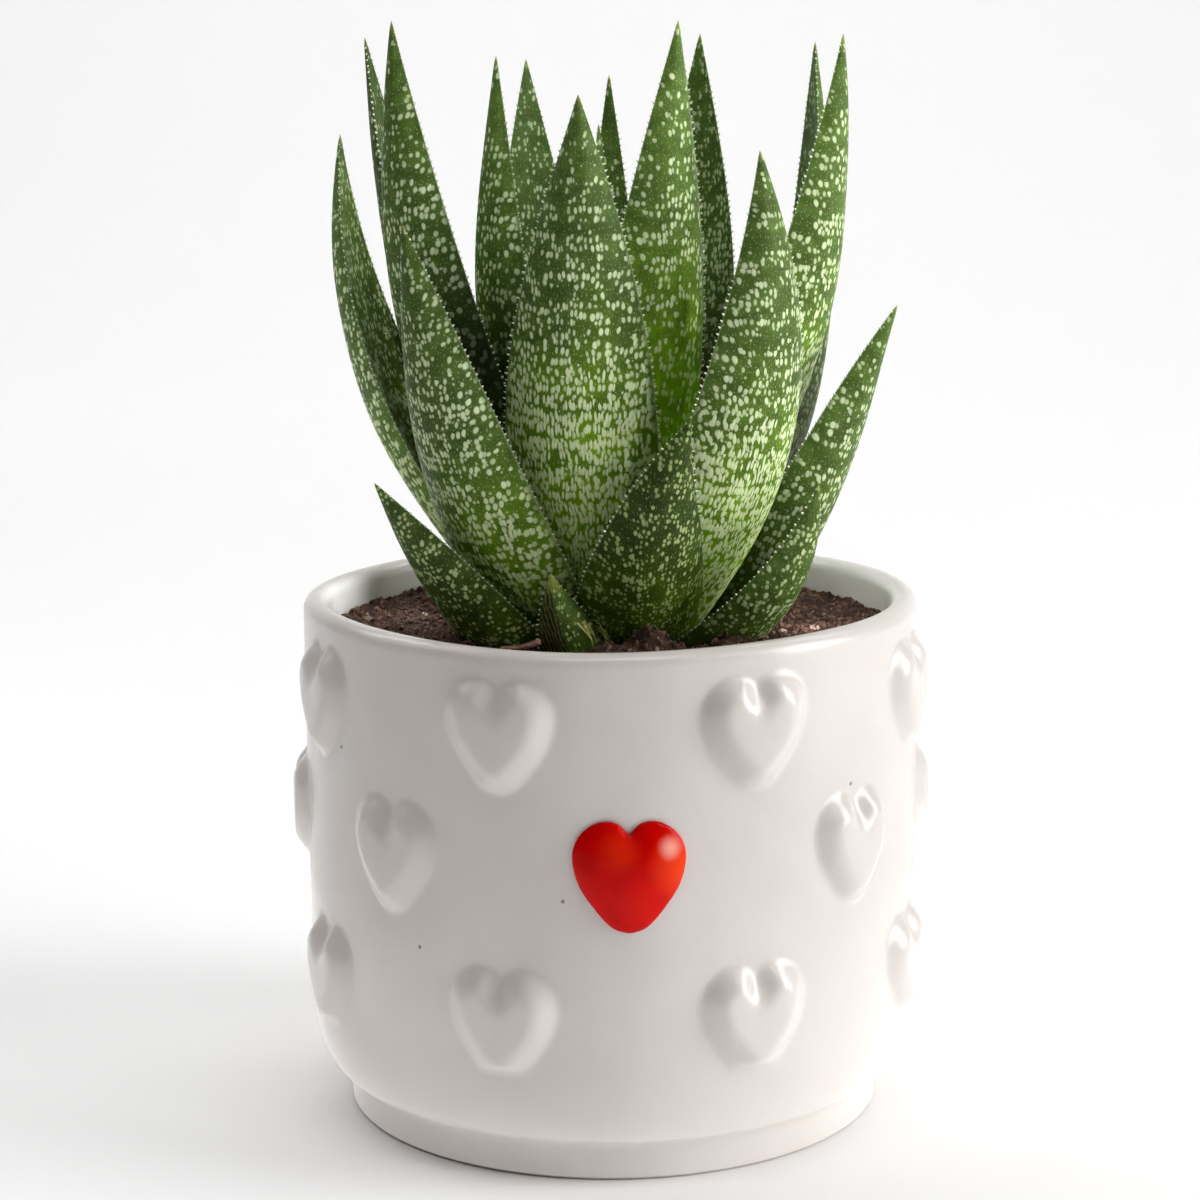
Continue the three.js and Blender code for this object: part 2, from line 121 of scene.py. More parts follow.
class Board:
    """A node tree that is written to as sums and named nodes."""

    def __init__(self, tree):
        self.tree = tree

    def add(self, kind, settings={}, sockets={}):
        node = self.tree.nodes.new(kind)
        for name, value in settings.items():
            setattr(node, name, value)
        for name, value in sockets.items():
            if isinstance(value, Wire):
                self.tree.links.new(value.socket, node.inputs[name])
            else:
                node.inputs[name].default_value = value
        return Made(self, node)

    def geo(self, kind, settings={}, **sockets):
        """A Geometry node, with an underscore for each space in the name of a socket."""
        named = {name.replace("_", " "): value for name, value in sockets.items()}
        return self.add("GeometryNode" + kind, settings, named)

    def math(self, operation, *values):
        return self.add("ShaderNodeMath", {"operation": operation}, dict(enumerate(values)))[0]

    def mix(self, share, first, second):
        """The first colour, turning to the second as the share goes from 0 to 1."""
        first, second = [c if isinstance(c, Wire) else (*c, 1) for c in (first, second)]
        sockets = {0: share, 6: first, 7: second}
        return self.add("ShaderNodeMix", {"data_type": "RGBA"}, sockets)[2]

    def layered(self, colour, *layers):
        """A colour with others laid over it in turn, each by its own share."""
        for share, over in layers:
            colour = self.mix(share, colour, over)
        return colour

    def split(self, vector):
        parts = self.add("ShaderNodeSeparateXYZ", {}, {0: vector})
        return parts["X"], parts["Y"], parts["Z"]

    def vector(self, x=0.0, y=0.0, z=0.0):
        return self.add("ShaderNodeCombineXYZ", {}, {"X": x, "Y": y, "Z": z})[0]

    def scaled(self, vector, factor):
        sockets = {0: vector, "Scale": factor}
        return self.add("ShaderNodeVectorMath", {"operation": "SCALE"}, sockets)[0]

    def between(self, operation, first, second):
        """A number worked out from two vectors, such as how far apart they are."""
        sockets = {0: first, 1: second}
        return self.add("ShaderNodeVectorMath", {"operation": operation}, sockets)["Value"]


class Made:
    """A node on a board, whose outputs are picked by name or number."""

    def __init__(self, board, node):
        self.board, self.node = board, node

    def __getitem__(self, name):
        return Wire(self.board, self.node.outputs[name])


print("sums of wires make Math nodes")

# %% [markdown]
# A paint starts from a Principled shader. What is the same all over goes straight on its sockets,
# and what varies is a wire. Two patterns are enough for every finish here: noise, for clouds and
# grain, and Voronoi cells, for anything that comes in spots.

# %% Define the paints
class Paint(Board):
    """A material, written as sums."""

    def __init__(self, name):
        self.material = bpy.data.materials.new(name)
        self.material.use_nodes = True
        super().__init__(self.material.node_tree)
        self.shader = self.tree.nodes["Principled BSDF"]

    def set(self, **sockets):
        for name, value in sockets.items():
            socket = self.shader.inputs[name.replace("_", " ")]
            if isinstance(value, Wire):
                self.tree.links.new(value.socket, socket)
            else:
                socket.default_value = value

    def place(self):
        """Object coordinates, in millimetres."""
        return self.scaled(self.add("ShaderNodeTexCoord")["Object"], 1 / MM)

    def grain(self, at, scale, detail=3.0, roughness=0.55):
        settings = {"Vector": at, "Scale": scale, "Detail": detail, "Roughness": roughness}
        return self.add("ShaderNodeTexNoise", {}, settings)[0]

    def cells(self, at, scale, spread):
        """Distance to the middle of the nearest cell, where it is, and two numbers of its own."""
        sockets = {"Vector": at, "Scale": scale, "Randomness": spread}
        made = self.add("ShaderNodeTexVoronoi", {"voronoi_dimensions": "2D"}, sockets)
        pick, chance, _ = self.split(made["Color"])
        return made["Distance"], made["Position"], pick, chance

    def mark(self, name):
        return self.add("ShaderNodeAttribute", {"attribute_name": name})["Fac"]

    def relief(self, height, depth):
        """A height from 0 to 1 as bumps that are so many millimetres deep."""
        sockets = {"Height": height, "Distance": depth * MM, "Strength": 1.0}
        self.set(Normal=self.add("ShaderNodeBump", {}, sockets)[0])


print("a paint is a board with a Principled shader on it")

# %% [markdown]
# ## The studio
#
# The pot stands on white paper that sweeps up behind it, kept white by a box of light. A tall
# window at the right turns that side of the pot nearly white, a card at the left lifts the shaded
# side, and a soft box overhead lights the rim and the peat. A small lamp high in front puts the
# sparkle on the hearts, and a narrow beam falls on the leaves alone. A light table under the pot
# makes its foot as bright as its wall, and two small cards light the wall inside the rim. A glazed
# pot is a mirror, so these lights are also what we see in it. The room is pale all round at the
# height of the horizon, but for a dark corner at the front left, and dimmer overhead, or the
# greens would drown in white reflections.

# %% Build the floor and the lights
SWEEP_HALF, SWEEP_FRONT, SWEEP_BACK, SWEEP_BEND, SWEEP_TOP = 4.0, -4.0, 0.9, 0.6, 3.0
bend = [
    (SWEEP_BACK + SWEEP_BEND * math.sin(a), SWEEP_BEND * (1 - math.cos(a)))
    for a in np.radians(np.linspace(0, 90, 25))
]
side_line = [(SWEEP_FRONT, 0.0), *bend, (SWEEP_BACK + SWEEP_BEND, SWEEP_TOP)]
floor_mesh = bpy.data.meshes.new("floor")
floor_mesh.from_pydata(
    [(x, y, z) for y, z in side_line for x in (-SWEEP_HALF, SWEEP_HALF)], [],
    [(2 * k, 2 * k + 1, 2 * k + 3, 2 * k + 2) for k in range(len(side_line) - 1)],
)
floor_mesh.shade_smooth()
floor = put("floor", floor_mesh)
floor_paint = Paint("floor_paper")
floor_paint.set(Base_Color=(0.93, 0.93, 0.93, 1), Roughness=0.9)
floor_mesh.materials.append(floor_paint.material)

world = bpy.data.worlds.new("studio")
world.use_nodes = True
sky = Board(world.node_tree)
looking = sky.add("ShaderNodeTexCoord")["Generated"]
haze = sky.split(looking)[2].size().rise(0.45, 0.03)
CORNER = (-0.50, -0.85, -0.10)
in_corner = sky.between("DOT_PRODUCT", looking, CORNER).rise(-0.35, 0.75)
background = world.node_tree.nodes["Background"]
background.inputs["Color"].default_value = (1.0, 0.985, 0.97, 1)
OVERHEAD, OPEN_ROOM, DARK_ROOM = 0.06, 0.80, 0.02
room = (1.0 - in_corner) * OPEN_ROOM + in_corner * DARK_ROOM
sky.tree.links.new((haze * room + OVERHEAD).socket, background.inputs["Strength"])
scene.world = world
scene.view_settings.view_transform = "Standard"


def hang(lamp, place, target):
    light = put(lamp.name, lamp)
    light.location = place
    light.rotation_euler = (Vector(target) - light.location).to_track_quat("-Z", "Y").to_euler()
    return light


CEILING = 0.30
ceiling = bpy.data.lights.new("ceiling", "SUN")
ceiling.energy, ceiling.angle = CEILING, math.radians(80)
hang(ceiling, (0, 0, 2), (0, 0, 0))
LIGHTS = {  # where it hangs, what it points at, how wide and high it is, power in watts, beam
    "backdrop_box": ((0.0, 0.75, 1.30), (0, 1.15, 0.10), (3.0, 0.6), 16.0, 180),
    "window": ((0.80, -0.17, 0.30), (0, 0, 0.07), (0.45, 0.9), 7.0, 180),
    "left_card": ((-0.36, 0.10, 0.46), (0, 0, 0.07), (0.4, 0.4), 0.55, 180),
    "sparkle": ((0.46, -0.42, 0.60), (0, 0, 0.07), (0.15, 0.15), 0.40, 180),
    "soft_box": ((0.0, -0.16, 0.50), (0, -0.04, 0.04), (0.30, 0.12), 0.42, 180),
    "plant_lamp": ((0.50, -0.45, 0.40), (0, 0, 0.135), (0.10, 0.05), 0.012, 12),
    "light_table": ((0, 0, 0.0004), (0, 0, 1), (0.25, 0.25), 0.066, 180),
    "right_rim_card": ((0.027, -0.020, 0.0715), (0.040, 0.012, 0.068), (0.008, 0.003), 0.0013, 120),
    "left_rim_card": ((-0.022, 0.008, 0.0735), (-0.039, 0.0, 0.069), (0.010, 0.003), 0.0014, 120),
}
for name, (place, target, (wide, high), power, beam) in LIGHTS.items():
    lamp = bpy.data.lights.new(name, "AREA")
    lamp.shape, lamp.size, lamp.size_y, lamp.energy = "ELLIPSE", wide, high, power
    lamp.spread = math.radians(beam)
    hang(lamp, place, target).visible_camera = False
print("lights:", ", ".join(LIGHTS))

# %% [markdown]
# ## From rings to pieces
#
# The pot, the soil and the leaves are all made alike: rings of points, one after another, skinned
# and closed at both ends. Such a skin may come out inside out, so its volume is summed, and the
# faces are turned round if it is negative.

# %% Define how rings become a piece
def polar(bearing, radius, z):
    """Points at a bearing in degrees, 0 at the front and 90 on +X, in millimetres."""
    angle = np.radians(bearing)
    return np.stack(np.broadcast_arrays(radius * np.sin(angle), -radius * np.cos(angle), z), -1)


def unit(vectors):
    return vectors / np.linalg.norm(vectors, axis=-1, keepdims=True)


def skin(rings, start, end):
    """Points and faces of the closed skin over rings of shape (rows, sides, 3)."""
    rows, sides = rings.shape[:2]
    points = np.concatenate([rings.reshape(-1, 3), [start, end]])
    side, row = np.meshgrid(np.arange(sides), np.arange(rows - 1))
    beside = (side + 1) % sides
    corners = [row * sides + side, row * sides + beside]
    quads = np.stack([*corners, corners[1] + sides, corners[0] + sides], -1).reshape(-1, 4)
    around, onward, last = np.arange(sides), (np.arange(sides) + 1) % sides, (rows - 1) * sides
    cap = np.stack([onward, around, np.full(sides, len(points) - 2)], -1)
    tip = np.stack([last + around, last + onward, np.full(sides, len(points) - 1)], -1)
    faces = quads.tolist() + cap.tolist() + tip.tolist()
    halves = np.concatenate([quads[:, :3], quads[:, [0, 2, 3]], cap, tip])
    a, b, c = (points[halves[:, k]] for k in range(3))
    if np.einsum("ij,ij->", a, np.cross(b, c)) < 0:
        faces = [face[::-1] for face in faces]
    return points, faces


def together(skins):
    """The points and faces of several skins as those of one."""
    all_points, all_faces = [], []
    for points, faces in skins:
        first = sum(len(p) for p in all_points)
        all_faces += [[first + corner for corner in face] for face in faces]
        all_points.append(points)
    return np.concatenate(all_points), all_faces


def make_mesh(name, points, faces, paint):
    mesh = bpy.data.meshes.new(name)
    mesh.from_pydata((points * MM).tolist(), [], faces)
    mesh.shade_smooth()
    mesh.materials.append(paint.material)
    return mesh


def note(mesh, name, values):
    """Keeps a number for each point of a mesh, for a paint or a node tree to use."""
    mesh.attributes.new(name, "FLOAT", "POINT").data.foreach_set("value", np.asarray(values, float))


def stand_for(node, mesh, part="finished"):
    """Shows a mesh as a finished piece of a node."""
    piece = put(f"{node}_{part}", mesh)
    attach(piece, "root")
    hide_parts(node)
    print(f"{piece.name}: {sum(len(p.vertices) - 2 for p in mesh.polygons)} triangles")


def grown(source, tree, **sizes):
    """The plain mesh that a Geometry Nodes tree makes from an object, with its inputs set."""
    modifier = source.modifiers.new("grow", "NODES")
    modifier.node_group = tree
    for item in tree.interface.items_tree:
        if item.item_type == "SOCKET" and item.in_out == "INPUT" and item.name in sizes:
            modifier[item.identifier] = sizes[item.name]
    graph = bpy.context.evaluated_depsgraph_get()
    mesh = bpy.data.meshes.new_from_object(
        source.evaluated_get(graph), preserve_all_data_layers=True, depsgraph=graph
    )
    source.modifiers.remove(modifier)
    return mesh


print("rings are skinned, closed and turned outwards")

# %% [markdown]
# ## The hearts on the pot
#
# The hearts were pressed in the same mould as the wall and the glaze ran over both, so a white
# heart has no edge: it swells out of the wall. Stuck-on shapes would show a seam. Instead we work
# out, for every point of the wall, how far it lies inside a heart's outline, and lift it by a
# smooth curve of that distance. The valley under the notch is pressed in a little deeper.

# %% Measure the distance inside a heart
HEART_HALF = np.array([
    (0, 5.4), (1.7, 6.9), (4.0, 6.9), (6.2, 5.3), (7.15, 2.6), (6.4, -1.0), (4.4, -4.2),
    (2.1, -6.7), (0, -7.4),
])


def curved(points, steps):
    """A smooth line through points, with the ends as they are."""
    padded = np.concatenate([points[:1], points, points[-1:]])
    t = np.arange(steps)[:, None] / steps
    spans = []
    for a, b, c, d in zip(padded, padded[1:], padded[2:], padded[3:]):
        spans.append(0.5 * (2 * b + (c - a) * t + (2 * a - 5 * b + 4 * c - d) * t**2
                            + (3 * b - a - 3 * c + d) * t**3))
    return np.concatenate([*spans, points[-1:]])


heart_right = curved(HEART_HALF, 12)
HEART_LINE = np.concatenate([heart_right, (heart_right * (-1, 1))[-2:0:-1]])


def inside_heart(across, up):
    """Distance inside the heart's outline, in millimetres, and negative outside it."""
    point = np.stack([across, up], -1)[..., None, :]
    start, end = HEART_LINE, np.roll(HEART_LINE, -1, 0)
    edge = end - start
    share = np.clip(((point - start) * edge).sum(-1) / (edge**2).sum(-1), 0, 1)
    distance = np.linalg.norm(point - start - share[..., None] * edge, axis=-1).min(-1)
    x, y = point[..., 0], point[..., 1]
    spans = (start[:, 1] > y) != (end[:, 1] > y)
    level = np.where(edge[:, 1] == 0, 1, edge[:, 1])
    crossed = spans & (x < start[:, 0] + (y - start[:, 1]) * edge[:, 0] / level)
    return np.where(crossed.sum(-1) % 2 == 1, distance, -distance)


depth = inside_heart(np.array([0.0]), np.array([1.0]))[0]
print("near the middle we are", round(float(depth), 2), "mm inside the heart")

# %% [markdown]
# ## The pot
#
# A pot is turned, so it is a profile swept round an axis. The profile is sampled closely on the
# wall, where the hearts need it, and coarsely inside, where peat hides it. The rim sinks a little
# at the front, and nothing in the wall is quite round, which is what makes the reflections in a
# real glaze wander.

# %% Shape the pot
POT_RADIUS, POT_WALL, POT_HEIGHT = 42.5, 3.5, 71.8
FOOT_RADIUS, FOOT_HEIGHT, FOOT_WIDTH, FOOT_BEVEL, UNDERSIDE = 37.3, 5.4, 5.0, 0.7, 1.6
SHOULDER, POT_FLOOR = 17.0, 6.0
HEART_ROWS, RED_BEARING, RELIEF, WHITE_RELIEF = (22.3, 42.6, 60.4), 2.9, 2.2, 2.0
POT_SIDES, WALL_ROWS = 560, 98
SWELL_FROM, SWELL_REACH, SWELL_FULL = -0.5, 3.7, 1.25
VALLEY_DEEP, VALLEY_HALF, VALLEY_AT, VALLEY_TALL = 0.35, 1.5, 5.0, 2.6
SWAYS = ((0.10, 3, 20), (0.07, 5, -50))  # how far out, how often round the pot, turned by
FRONT_DIP, DIP_WIDE, RIM_WAVE, RIM_BAND = 0.9, 40, 0.12, 9


def arc(centre, radii, first, last, steps):
    angle = np.radians(np.linspace(first, last, steps + 1))
    return np.stack([np.cos(angle), np.sin(angle)], -1) * radii + centre


inner = POT_RADIUS - POT_WALL
lip = POT_WALL / 2
corner = FOOT_RADIUS + 0.4
foot_inner = FOOT_RADIUS - FOOT_WIDTH
wall = np.linspace(SHOULDER, POT_HEIGHT - lip, WALL_ROWS)[1:-1]
profile = np.concatenate([
    [(10, UNDERSIDE), (foot_inner - 2, UNDERSIDE), (foot_inner - FOOT_BEVEL, UNDERSIDE - 0.2)],
    [(foot_inner, 0.15), (foot_inner + 0.4, 0)],
    arc((FOOT_RADIUS - FOOT_BEVEL, FOOT_BEVEL), (FOOT_BEVEL, FOOT_BEVEL), -90, 0, 5),
    [(FOOT_RADIUS, z) for z in (2, 3.2, 4.2)],
    [(FOOT_RADIUS + 0.04, FOOT_HEIGHT - 0.5), (FOOT_RADIUS + 0.22, FOOT_HEIGHT - 0.12)],
    arc((corner, SHOULDER), (POT_RADIUS - corner, SHOULDER - FOOT_HEIGHT), -86, 0, 18),
    np.stack([np.full(len(wall), POT_RADIUS), wall], -1),
    arc((POT_RADIUS - lip, POT_HEIGHT - lip), (lip, lip), 0, 180, 14),
    [(inner, z) for z in (69, 67.5, 66, 60, 40, 14)],
    [(inner - 2, POT_FLOOR + 2), (inner - 7, POT_FLOOR), (8, POT_FLOOR)],
])
bearings = np.arange(POT_SIDES) * 360 / POT_SIDES
radii = np.repeat(profile[:, :1], POT_SIDES, 1)
heights = np.repeat(profile[:, 1:], POT_SIDES, 1)

# %% Swell the hearts out of the wall
def around(bearing, middle):
    """The turn from a middle to a bearing, from -180 to 180."""
    return (bearing - middle + 180) % 360 - 180


outside = radii > POT_RADIUS - 0.01
lift = np.zeros_like(radii)
for row, z in enumerate(HEART_ROWS):
    for turn in range(8):
        if row == 1 and turn == 0:
            continue  # the red heart is a piece of its own
        middle = RED_BEARING + 45 * (turn + (0 if row == 1 else 0.5))
        across = np.radians(around(bearings, middle))[None, :] * POT_RADIUS
        near = outside & (np.abs(across) < 10) & (np.abs(heights - z) < 10)
        across_near, up_near = np.broadcast_to(across, radii.shape)[near], heights[near] - z
        inside = inside_heart(across_near, up_near)
        from_valley = (across_near / VALLEY_HALF) ** 2 + ((up_near - VALLEY_AT) / VALLEY_TALL) ** 2
        valley = VALLEY_DEEP * np.exp(-from_valley)
        share = np.clip((inside - SWELL_FROM) / SWELL_REACH, 0, 1)
        plump = WHITE_RELIEF * np.sin(share * math.pi / 2) ** SWELL_FULL
        lift[near] = np.maximum(lift[near], (1 - valley) * plump)

sway = sum(out * np.sin(np.radians(waves * bearings + turned)) for out, waves, turned in SWAYS)
on_wall = np.clip((heights - FOOT_HEIGHT) / 12, 0, 1)
radii = radii + lift + sway * on_wall
top = np.clip((heights - (POT_HEIGHT - RIM_BAND)) / RIM_BAND, 0, 1)
dip = FRONT_DIP * np.exp(-((around(bearings, 0) / DIP_WIDE) ** 2))
dip = dip - RIM_WAVE * np.sin(np.radians(4 * bearings))
heights = heights - dip * top * top * (3 - 2 * top)
print("the pot's wall has", lift[lift > 0.1].size, "points lifted by hearts")

# %% [markdown]
# ### The glaze
#
# White glaze is opaque and thick: a faint warm body colour under a clear gloss. Up close it has a
# slow ripple, and here and there a pinhole where a bubble burst and dirt settled.

# %% Mix the white glaze and make the pot
PINHOLES = [  # bearing and height
    (-8.5, 39.2), (-13.8, 22.6), (-36.0, 31.0), (27.5, 11.8), (47.0, 51.0), (-57.0, 55.0),
    (118, 38), (190, 24),
]

white_glaze = Paint("white_glaze")
at = white_glaze.place()
cloud = white_glaze.grain(at, 0.035, 2.0)
# Painted light: inside the rim the glaze is painted brighter, to lift the wall that the leaves
# shade.
x, y, z = white_glaze.split(at)
painted_light_inside = ((x * x + y * y) ** 0.5).rise(40.6, 39.2) * z.rise(40.0, 60.0)
spot = None
for bearing, z in PINHOLES:
    middle = tuple(polar(bearing, POT_RADIUS, z))
    hole = white_glaze.between("DISTANCE", at, middle).rise(0.34, 0.16)
    spot = hole if spot is None else spot.most(hole)
body = white_glaze.layered(
    (0.610, 0.566, 0.536), (cloud.rise(0.35, 0.7), (0.650, 0.610, 0.582)),
    (painted_light_inside, (0.93, 0.91, 0.90)), (spot * 0.75, (0.12, 0.10, 0.085)),
)
ripple, peel = (white_glaze.grain(at, scale, 2.0, 0.4) for scale in (0.12, 1.1))
white_glaze.set(Base_Color=body, Roughness=0.19 + ripple * 0.08)
white_glaze.set(Coat_Weight=0.10, Coat_Roughness=0.15)
white_glaze.relief(ripple * 0.93 + peel * 0.07 - spot * 0.3, 0.32)

pot_rings = polar(bearings[None, :], radii, heights)
pot_mesh = make_mesh("pot", *skin(pot_rings, (0, 0, UNDERSIDE), (0, 0, POT_FLOOR)), white_glaze)
stand_for("pot", pot_mesh)

# %% [markdown]
# ## The red heart
#
# It is the same heart, but in a red glaze of its own, which stops at a clear edge. So it is a
# separate piece: rings that shrink from the outline to the middle, and a height for each point. A
# pressed heart is plump like a cushion, whose height can be worked out as for a skin of rubber
# under even pressure: every point stands a little higher than the mean of its neighbours, and the
# outline stays down.

# %% Work out the cushion
CELL, REACH = 0.2, 9.0
line = np.arange(-REACH, REACH + CELL / 2, CELL)
grid_x, grid_y = np.meshgrid(line, line, indexing="ij")
within = inside_heart(grid_x, grid_y) > 0
cushion = np.zeros_like(grid_x)
for _ in range(2500):
    beside = np.roll(cushion, 1, 0) + np.roll(cushion, -1, 0)
    mean = (beside + np.roll(cushion, 1, 1) + np.roll(cushion, -1, 1)) / 4
    cushion = np.where(within, mean + CELL**2 / 4, 0)
cushion /= cushion.max()


def cushion_at(across, up):
    """The cushion's height between its grid points, from 0 to 1."""
    i, j = (across + REACH) / CELL, (up + REACH) / CELL
    a, b = np.floor(i).astype(int), np.floor(j).astype(int)
    s, t = i - a, j - b
    low = cushion[a, b] * (1 - s) + cushion[a + 1, b] * s
    high = cushion[a, b + 1] * (1 - s) + cushion[a + 1, b + 1] * s
    return low * (1 - t) + high * t


print("cushion on", cushion.shape, "points")

# %% Make the red heart
red_glaze = Paint("red_glaze")
at = red_glaze.place()
pool = red_glaze.grain(at, 0.22, 2.0)
red = red_glaze.mix(pool.rise(0.3, 0.75), (0.47, 0.0004, 0.0002), (0.62, 0.0015, 0.0008))
# Painted highlights and sheen: the red is painted orange on the right flank and by the notch, a
# brighter red low down, and pink high on the right lobe, where the lamps would light it.
PAINTED_HIGHLIGHTS = [  # across and up from the heart's middle, how far it reaches, colour, how much
    ((6.8, 1.2), 6.0, (0.74, 0.045, 0.006), 0.95), ((-1.3, 3.6), 3.8, (0.66, 0.018, 0.004), 0.9),
    ((1.0, -4.0), 4.6, (0.62, 0.006, 0.002), 0.8), ((5.2, 4.0), 2.3, (0.88, 0.42, 0.33), 0.95),
]
for (across, up), reach, colour, strength in PAINTED_HIGHLIGHTS:
    turned = RED_BEARING + math.degrees(across / POT_RADIUS)
    middle = tuple(polar(turned, POT_RADIUS + RELIEF, HEART_ROWS[1] + up))
    away = red_glaze.between("DISTANCE", at, middle)
    red = red_glaze.mix(away.rise(reach, 0.3) * strength, red, colour)
red_glaze.set(Base_Color=red, Roughness=0.12 + pool * 0.06, Specular_IOR_Level=0.07)
red_glaze.relief(pool, 0.12)

HUB = np.array((0, 0.9))
shares = np.sin(np.linspace(1, 0.03, 26) * math.pi / 2)
flat = HUB + shares[:, None, None] * (HEART_LINE - HUB)
height = 0.3 + (RELIEF - 0.3) * cushion_at(flat[..., 0], flat[..., 1]) ** 0.7
flat = np.concatenate([flat[:1], flat])
height = np.concatenate([np.full((1, height.shape[1]), -0.15), height])
turned = RED_BEARING + np.degrees(flat[..., 0] / POT_RADIUS)
red_rings = polar(turned, POT_RADIUS + height, HEART_ROWS[1] + flat[..., 1])
ends = [polar(RED_BEARING, POT_RADIUS + h, HEART_ROWS[1] + HUB[1]) for h in (-0.15, RELIEF)]
stand_for("red_heart", make_mesh("red_heart", *skin(red_rings, *ends), red_glaze))

# %% [markdown]
# ## The peat
#
# Potting peat is dark, fibrous and crumbly. The bed is a disc that follows the heaps of the CAD
# soil, roughened at the scale of a few millimetres. Its crumbs are thousands of small lumps of
# every size, so Geometry Nodes scatter them over the bed.

# %% Mix the peat
def peat_paint(name, dark, light):
    paint = Paint(name)
    at = paint.place()
    clump, speck = paint.grain(at, 0.45, 4.0), paint.grain(at, 3.2, 3.0, 0.7)
    tone = paint.mark("tone")
    earth = paint.layered(
        dark, (clump.rise(0.35, 0.68), light), (speck.rise(0.62, 0.74) * 0.6, (0.42, 0.30, 0.23)),
        (tone.rise(0.60, 0.0) * 0.55, (0.018, 0.010, 0.008)),
        (tone.rise(0.90, 1.0) * 0.85, (0.48, 0.35, 0.27)),
    )
    paint.set(Base_Color=earth, Roughness=0.86 + clump * 0.12, Specular_IOR_Level=0.25)
    paint.relief(speck * 0.6 + clump * 0.4, 0.5)
    return paint


peat = peat_paint("peat", (0.060, 0.030, 0.022), (0.17, 0.085, 0.058))
crumb_peat = peat_paint("peat_crumbs", (0.085, 0.044, 0.031), (0.27, 0.145, 0.098))

# %% Shape the bed of peat
SOIL_LEVEL = 66.8
SOIL_HEAPS = [  # bearing, distance from the axis, height, spread
    (13, 24, 4.0, 2.9), (0, 25, 1.7, 3.4), (36, 27, 2.6, 4.5), (69, 28, 1.2, 7), (-57, 26, 1.4, 6),
    (-22, 27, -0.8, 6), (-130, 28, 1.2, 8), (128, 28, 1.0, 8), (180, 29, 1.2, 9),
]


def soil_height(points):
    z = np.full(points.shape[:-1], SOIL_LEVEL)
    for bearing, distance, height, spread in SOIL_HEAPS:
        away = ((points[..., :2] - polar(bearing, distance, 0)[:2]) ** 2).sum(-1)
        z = z + height * np.exp(-away / spread**2)
    return z


BED_SIDES, BED_ROWS, BED_GAP, ROUGHNESS = 300, 74, 0.12, 0.75
SOIL_BASE = ((7, 6.3), (2, 8.3), (0, 14.3))  # how far in from the edge, and how high
soil_edge = POT_RADIUS - POT_WALL - BED_GAP
soil_bearings = np.arange(BED_SIDES) * (360 / BED_SIDES)
across_bed = soil_edge * (1 - np.arange(BED_ROWS) / (BED_ROWS + 0.5))
bed = polar(soil_bearings[None, :], across_bed[:, None], 0.0)
bed[..., 2] = soil_height(bed)
rough = np.array([
    noise.fractal(Vector(p) * 0.45, 0.9, 2.1, 4) for p in bed.reshape(-1, 3).tolist()
]).reshape(bed.shape[:2])
bed[..., 2] += ROUGHNESS * rough
base = [polar(soil_bearings, soil_edge - drop, np.full(BED_SIDES, z)) for drop, z in SOIL_BASE]
soil_rings = np.concatenate([np.stack(base), bed])
soil_skin = skin(soil_rings, (0, 0, SOIL_BASE[0][1]), (0, 0, float(bed[-1, :, 2].mean())))
soil_mesh = make_mesh("soil", *soil_skin, peat)
on_top = np.zeros(len(soil_mesh.vertices))
on_top[len(base) * BED_SIDES : -2] = 1
note(soil_mesh, "bed", on_top)
print("bed of peat:", bed.shape[0] * bed.shape[1], "points")

# %% Scatter crumbs over it
def new_tree(name, **inputs):
    """A Geometry Nodes tree with a geometry going in and out, and named inputs."""
    tree = bpy.data.node_groups.new(name, "GeometryNodeTree")
    tree.interface.new_socket("Geometry", in_out="INPUT", socket_type="NodeSocketGeometry")
    tree.interface.new_socket("Geometry", in_out="OUTPUT", socket_type="NodeSocketGeometry")
    for label, kind in inputs.items():
        tree.interface.new_socket(label, in_out="INPUT", socket_type="NodeSocket" + kind)
    board = Board(tree)
    return tree, board, board.add("NodeGroupInput"), board.add("NodeGroupOutput")


def finish_tree(board, given, result, instances):
    """Makes instances real, gives them their material, and adds them to what came in."""
    real = board.geo("RealizeInstances", Geometry=instances)
    dressed = board.geo("SetMaterial", Geometry=real["Geometry"], Material=given["Material"])
    joined = board.geo("JoinGeometry", Geometry=dressed["Geometry"])
    board.tree.links.new(given["Geometry"].socket, joined.node.inputs["Geometry"])
    board.tree.links.new(joined["Geometry"].socket, result.node.inputs["Geometry"])


def attribute(board, name, kind="FLOAT"):
    return board.geo("InputNamedAttribute", {"data_type": kind}, Name=name)["Attribute"]


def random_share(board, seed, low=0.0, high=1.0):
    return board.add("FunctionNodeRandomValue", {}, {2: low, 3: high, "Seed": seed})[1]


def random_vector(board, seed, low, high):
    sockets = {"Min": low, "Max": high, "Seed": seed}
    return board.add("FunctionNodeRandomValue", {"data_type": "FLOAT_VECTOR"}, sockets)["Value"]


TONE_SEED, FULL_TURN = 3, 6.28
CRUMBS = {"Density": 1.7e6, "Smallest": 0.00018, "Largest": 0.00075, "Seed": 7}  # in metres
crumbs, board, given, result = new_tree(
    "crumbs of peat", Density="Float", Smallest="Float", Largest="Float", Seed="Int",
    Material="Material",
)
spread = board.geo(
    "DistributePointsOnFaces", {"distribute_method": "RANDOM"}, Mesh=given["Geometry"],
    Density=given["Density"], Seed=given["Seed"], Selection=attribute(board, "bed") > 0.5,
)
lump = board.geo("MeshIcoSphere", Radius=1.0, Subdivisions=1)
turn = random_vector(board, given["Seed"], (0, 0, 0), (FULL_TURN, FULL_TURN, FULL_TURN))
form = random_vector(board, given["Seed"], (0.5, 0.5, 0.4), (1.3, 1.0, 0.8))
draw = random_share(board, given["Seed"])
size = given["Smallest"] + (given["Largest"] - given["Smallest"]) * draw ** 3.0
